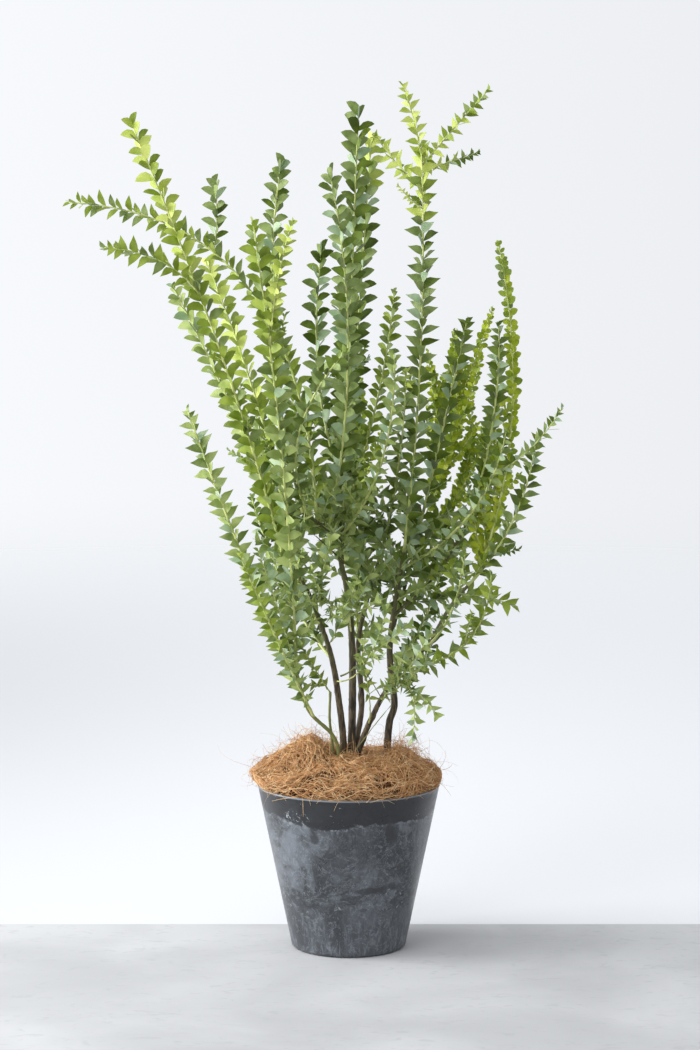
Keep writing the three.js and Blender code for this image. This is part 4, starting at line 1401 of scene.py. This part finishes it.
def grow_wands():
    """The stems of every wand and twig as lines, and the places of their leaves by tone and form."""
    dice = Random(PLANT_SEED)
    leaves = {(tone, form): [] for tone in LEAF_TONES for form in LEAF_FORMS}
    shoots = [shoot for name in WANDS for shoot in shoots_of(name, dice)]
    shoots += [twig for group in LIMB_TWIGS for twig in limb_twigs(*group, dice)]
    stems = []
    for shoot in shoots:
        line = shoot["line"]
        count = max(LEAST_STEPS, round(line.length / STEM_STEP))
        stem = [(line.at(i / count), stem_radius(shoot, i / count)) for i in range(count + 1)]
        for i in range(1, count):
            side = outward(line.heading(i / count), i * GOLDEN_ANGLE, pi / 2)
            stem[i] = (stem[i][0] + side * STEM_WOBBLE, stem[i][1])
        stems.append(stem)
        grow_leaves(shoot, dice, leaves)
    return stems, leaves


def make_leaves(leaves):
    """A piece for the leaves of each tone and form, listed by tone."""
    forms = {form: leaf_form(margins) for form, margins in LEAF_FORMS.items()}
    pieces = {}
    for tone, (dark, light, _) in LEAF_TONES.items():
        finish = leaf_finish("leaf_" + tone, dark, light)
        pieces[tone] = [
            joined_copies(f"leaves_{tone}_{form}", mesh, leaves[(tone, form)], finish)
            for form, mesh in forms.items() if leaves[(tone, form)]
        ]
    for mesh in forms.values():
        bpy.data.meshes.remove(mesh)
    return pieces


pot = make_pot()
mound = make_mound()
coir = make_coir()
dark_limbs = [name for name in LIMBS if "green" not in LIMBS[name]]
green_limbs = [name for name in LIMBS if "green" in LIMBS[name]]
dark_stems = make_limbs("woody_stems", dark_limbs, "dark_bark", BARE_TWIGS)
green_stems = make_limbs("green_stems", green_limbs, "green_bark", GREEN_TWIGS)
stems, leaves = grow_wands()
wand_stems = from_bmesh("wand_stems", tubes(stems, STEM_FACETS), plain_finish("wand_skin"))
leaf_pieces = make_leaves(leaves)

frame["nodes"]["soil"].data.materials.clear()
frame["nodes"]["soil"].data.materials.append(plain_finish("potting_soil"))

for piece, slot, nodes in [
    (pot, "pot", ["pot"]),
    (mound, "coir", ["coir_mulch"]),
    *[(piece, "coir", ["coir_mulch"]) for piece in coir],
    (dark_stems, "bark", dark_limbs),
    (green_stems, "bark", green_limbs),
    (wand_stems, "foliage", list(WANDS)),
]:
    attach(piece, "root")
    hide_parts(*nodes)
for tone, pieces in leaf_pieces.items():
    for piece in pieces:
        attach(piece, "root")
        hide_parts(*WANDS)


# Floor, light and camera
def make_floor():
    bm = bmesh.new()
    bmesh.ops.create_grid(bm, x_segments=1, y_segments=1, size=FLOOR["half_width"])
    bmesh.ops.translate(bm, verts=bm.verts, vec=(0, 0, -FLOOR["below"]))
    return from_bmesh("floor", bm, floor_finish())


def make_sky():
    """Cool even light, brighter from the left."""
    world = bpy.data.worlds.new("studio")
    world.use_nodes = True
    tree = world.node_tree
    background = tree.nodes["Background"]
    background.inputs["Color"].default_value = SKY["colour"]
    across = tree.nodes.new("ShaderNodeSeparateXYZ")
    tree.links.new(tree.nodes.new("ShaderNodeTexCoord").outputs["Generated"], across.inputs[0])
    brightness = tree.nodes.new("ShaderNodeMapRange")
    for socket, value in (
        ("From Min", -1), ("From Max", 1), ("To Min", SKY["left"]), ("To Max", SKY["right"]),
    ):
        brightness.inputs[socket].default_value = value
    tree.links.new(across.outputs["X"], brightness.inputs["Value"])
    tree.links.new(brightness.outputs["Result"], background.inputs["Strength"])
    bpy.context.scene.world = world
    bpy.context.scene.view_settings.view_transform = "Standard"


def soft_light(name, place, size, power):
    data = bpy.data.lights.new(name, "AREA")
    data.size = size
    data.energy = power
    lamp = bpy.data.objects.new(name, data)
    lamp.location = place
    lamp.rotation_euler = (Vector(LIT_POINT) - Vector(place)).to_track_quat("-Z", "Y").to_euler()
    bpy.context.scene.collection.objects.link(lamp)


def make_camera():
    data = bpy.data.cameras.new("camera")
    data.lens = CAMERA["lens"]
    data.sensor_width = CAMERA["sensor"]
    camera = bpy.data.objects.new("camera", data)
    camera.location = CAMERA["place"]
    camera.rotation_euler = (radians(90 - CAMERA["looks_down"]), 0, 0)
    bpy.context.scene.collection.objects.link(camera)
    bpy.context.scene.camera = camera


floor = make_floor()
make_sky()
for name, light in LIGHTS.items():
    soft_light(name, **light)
make_camera()
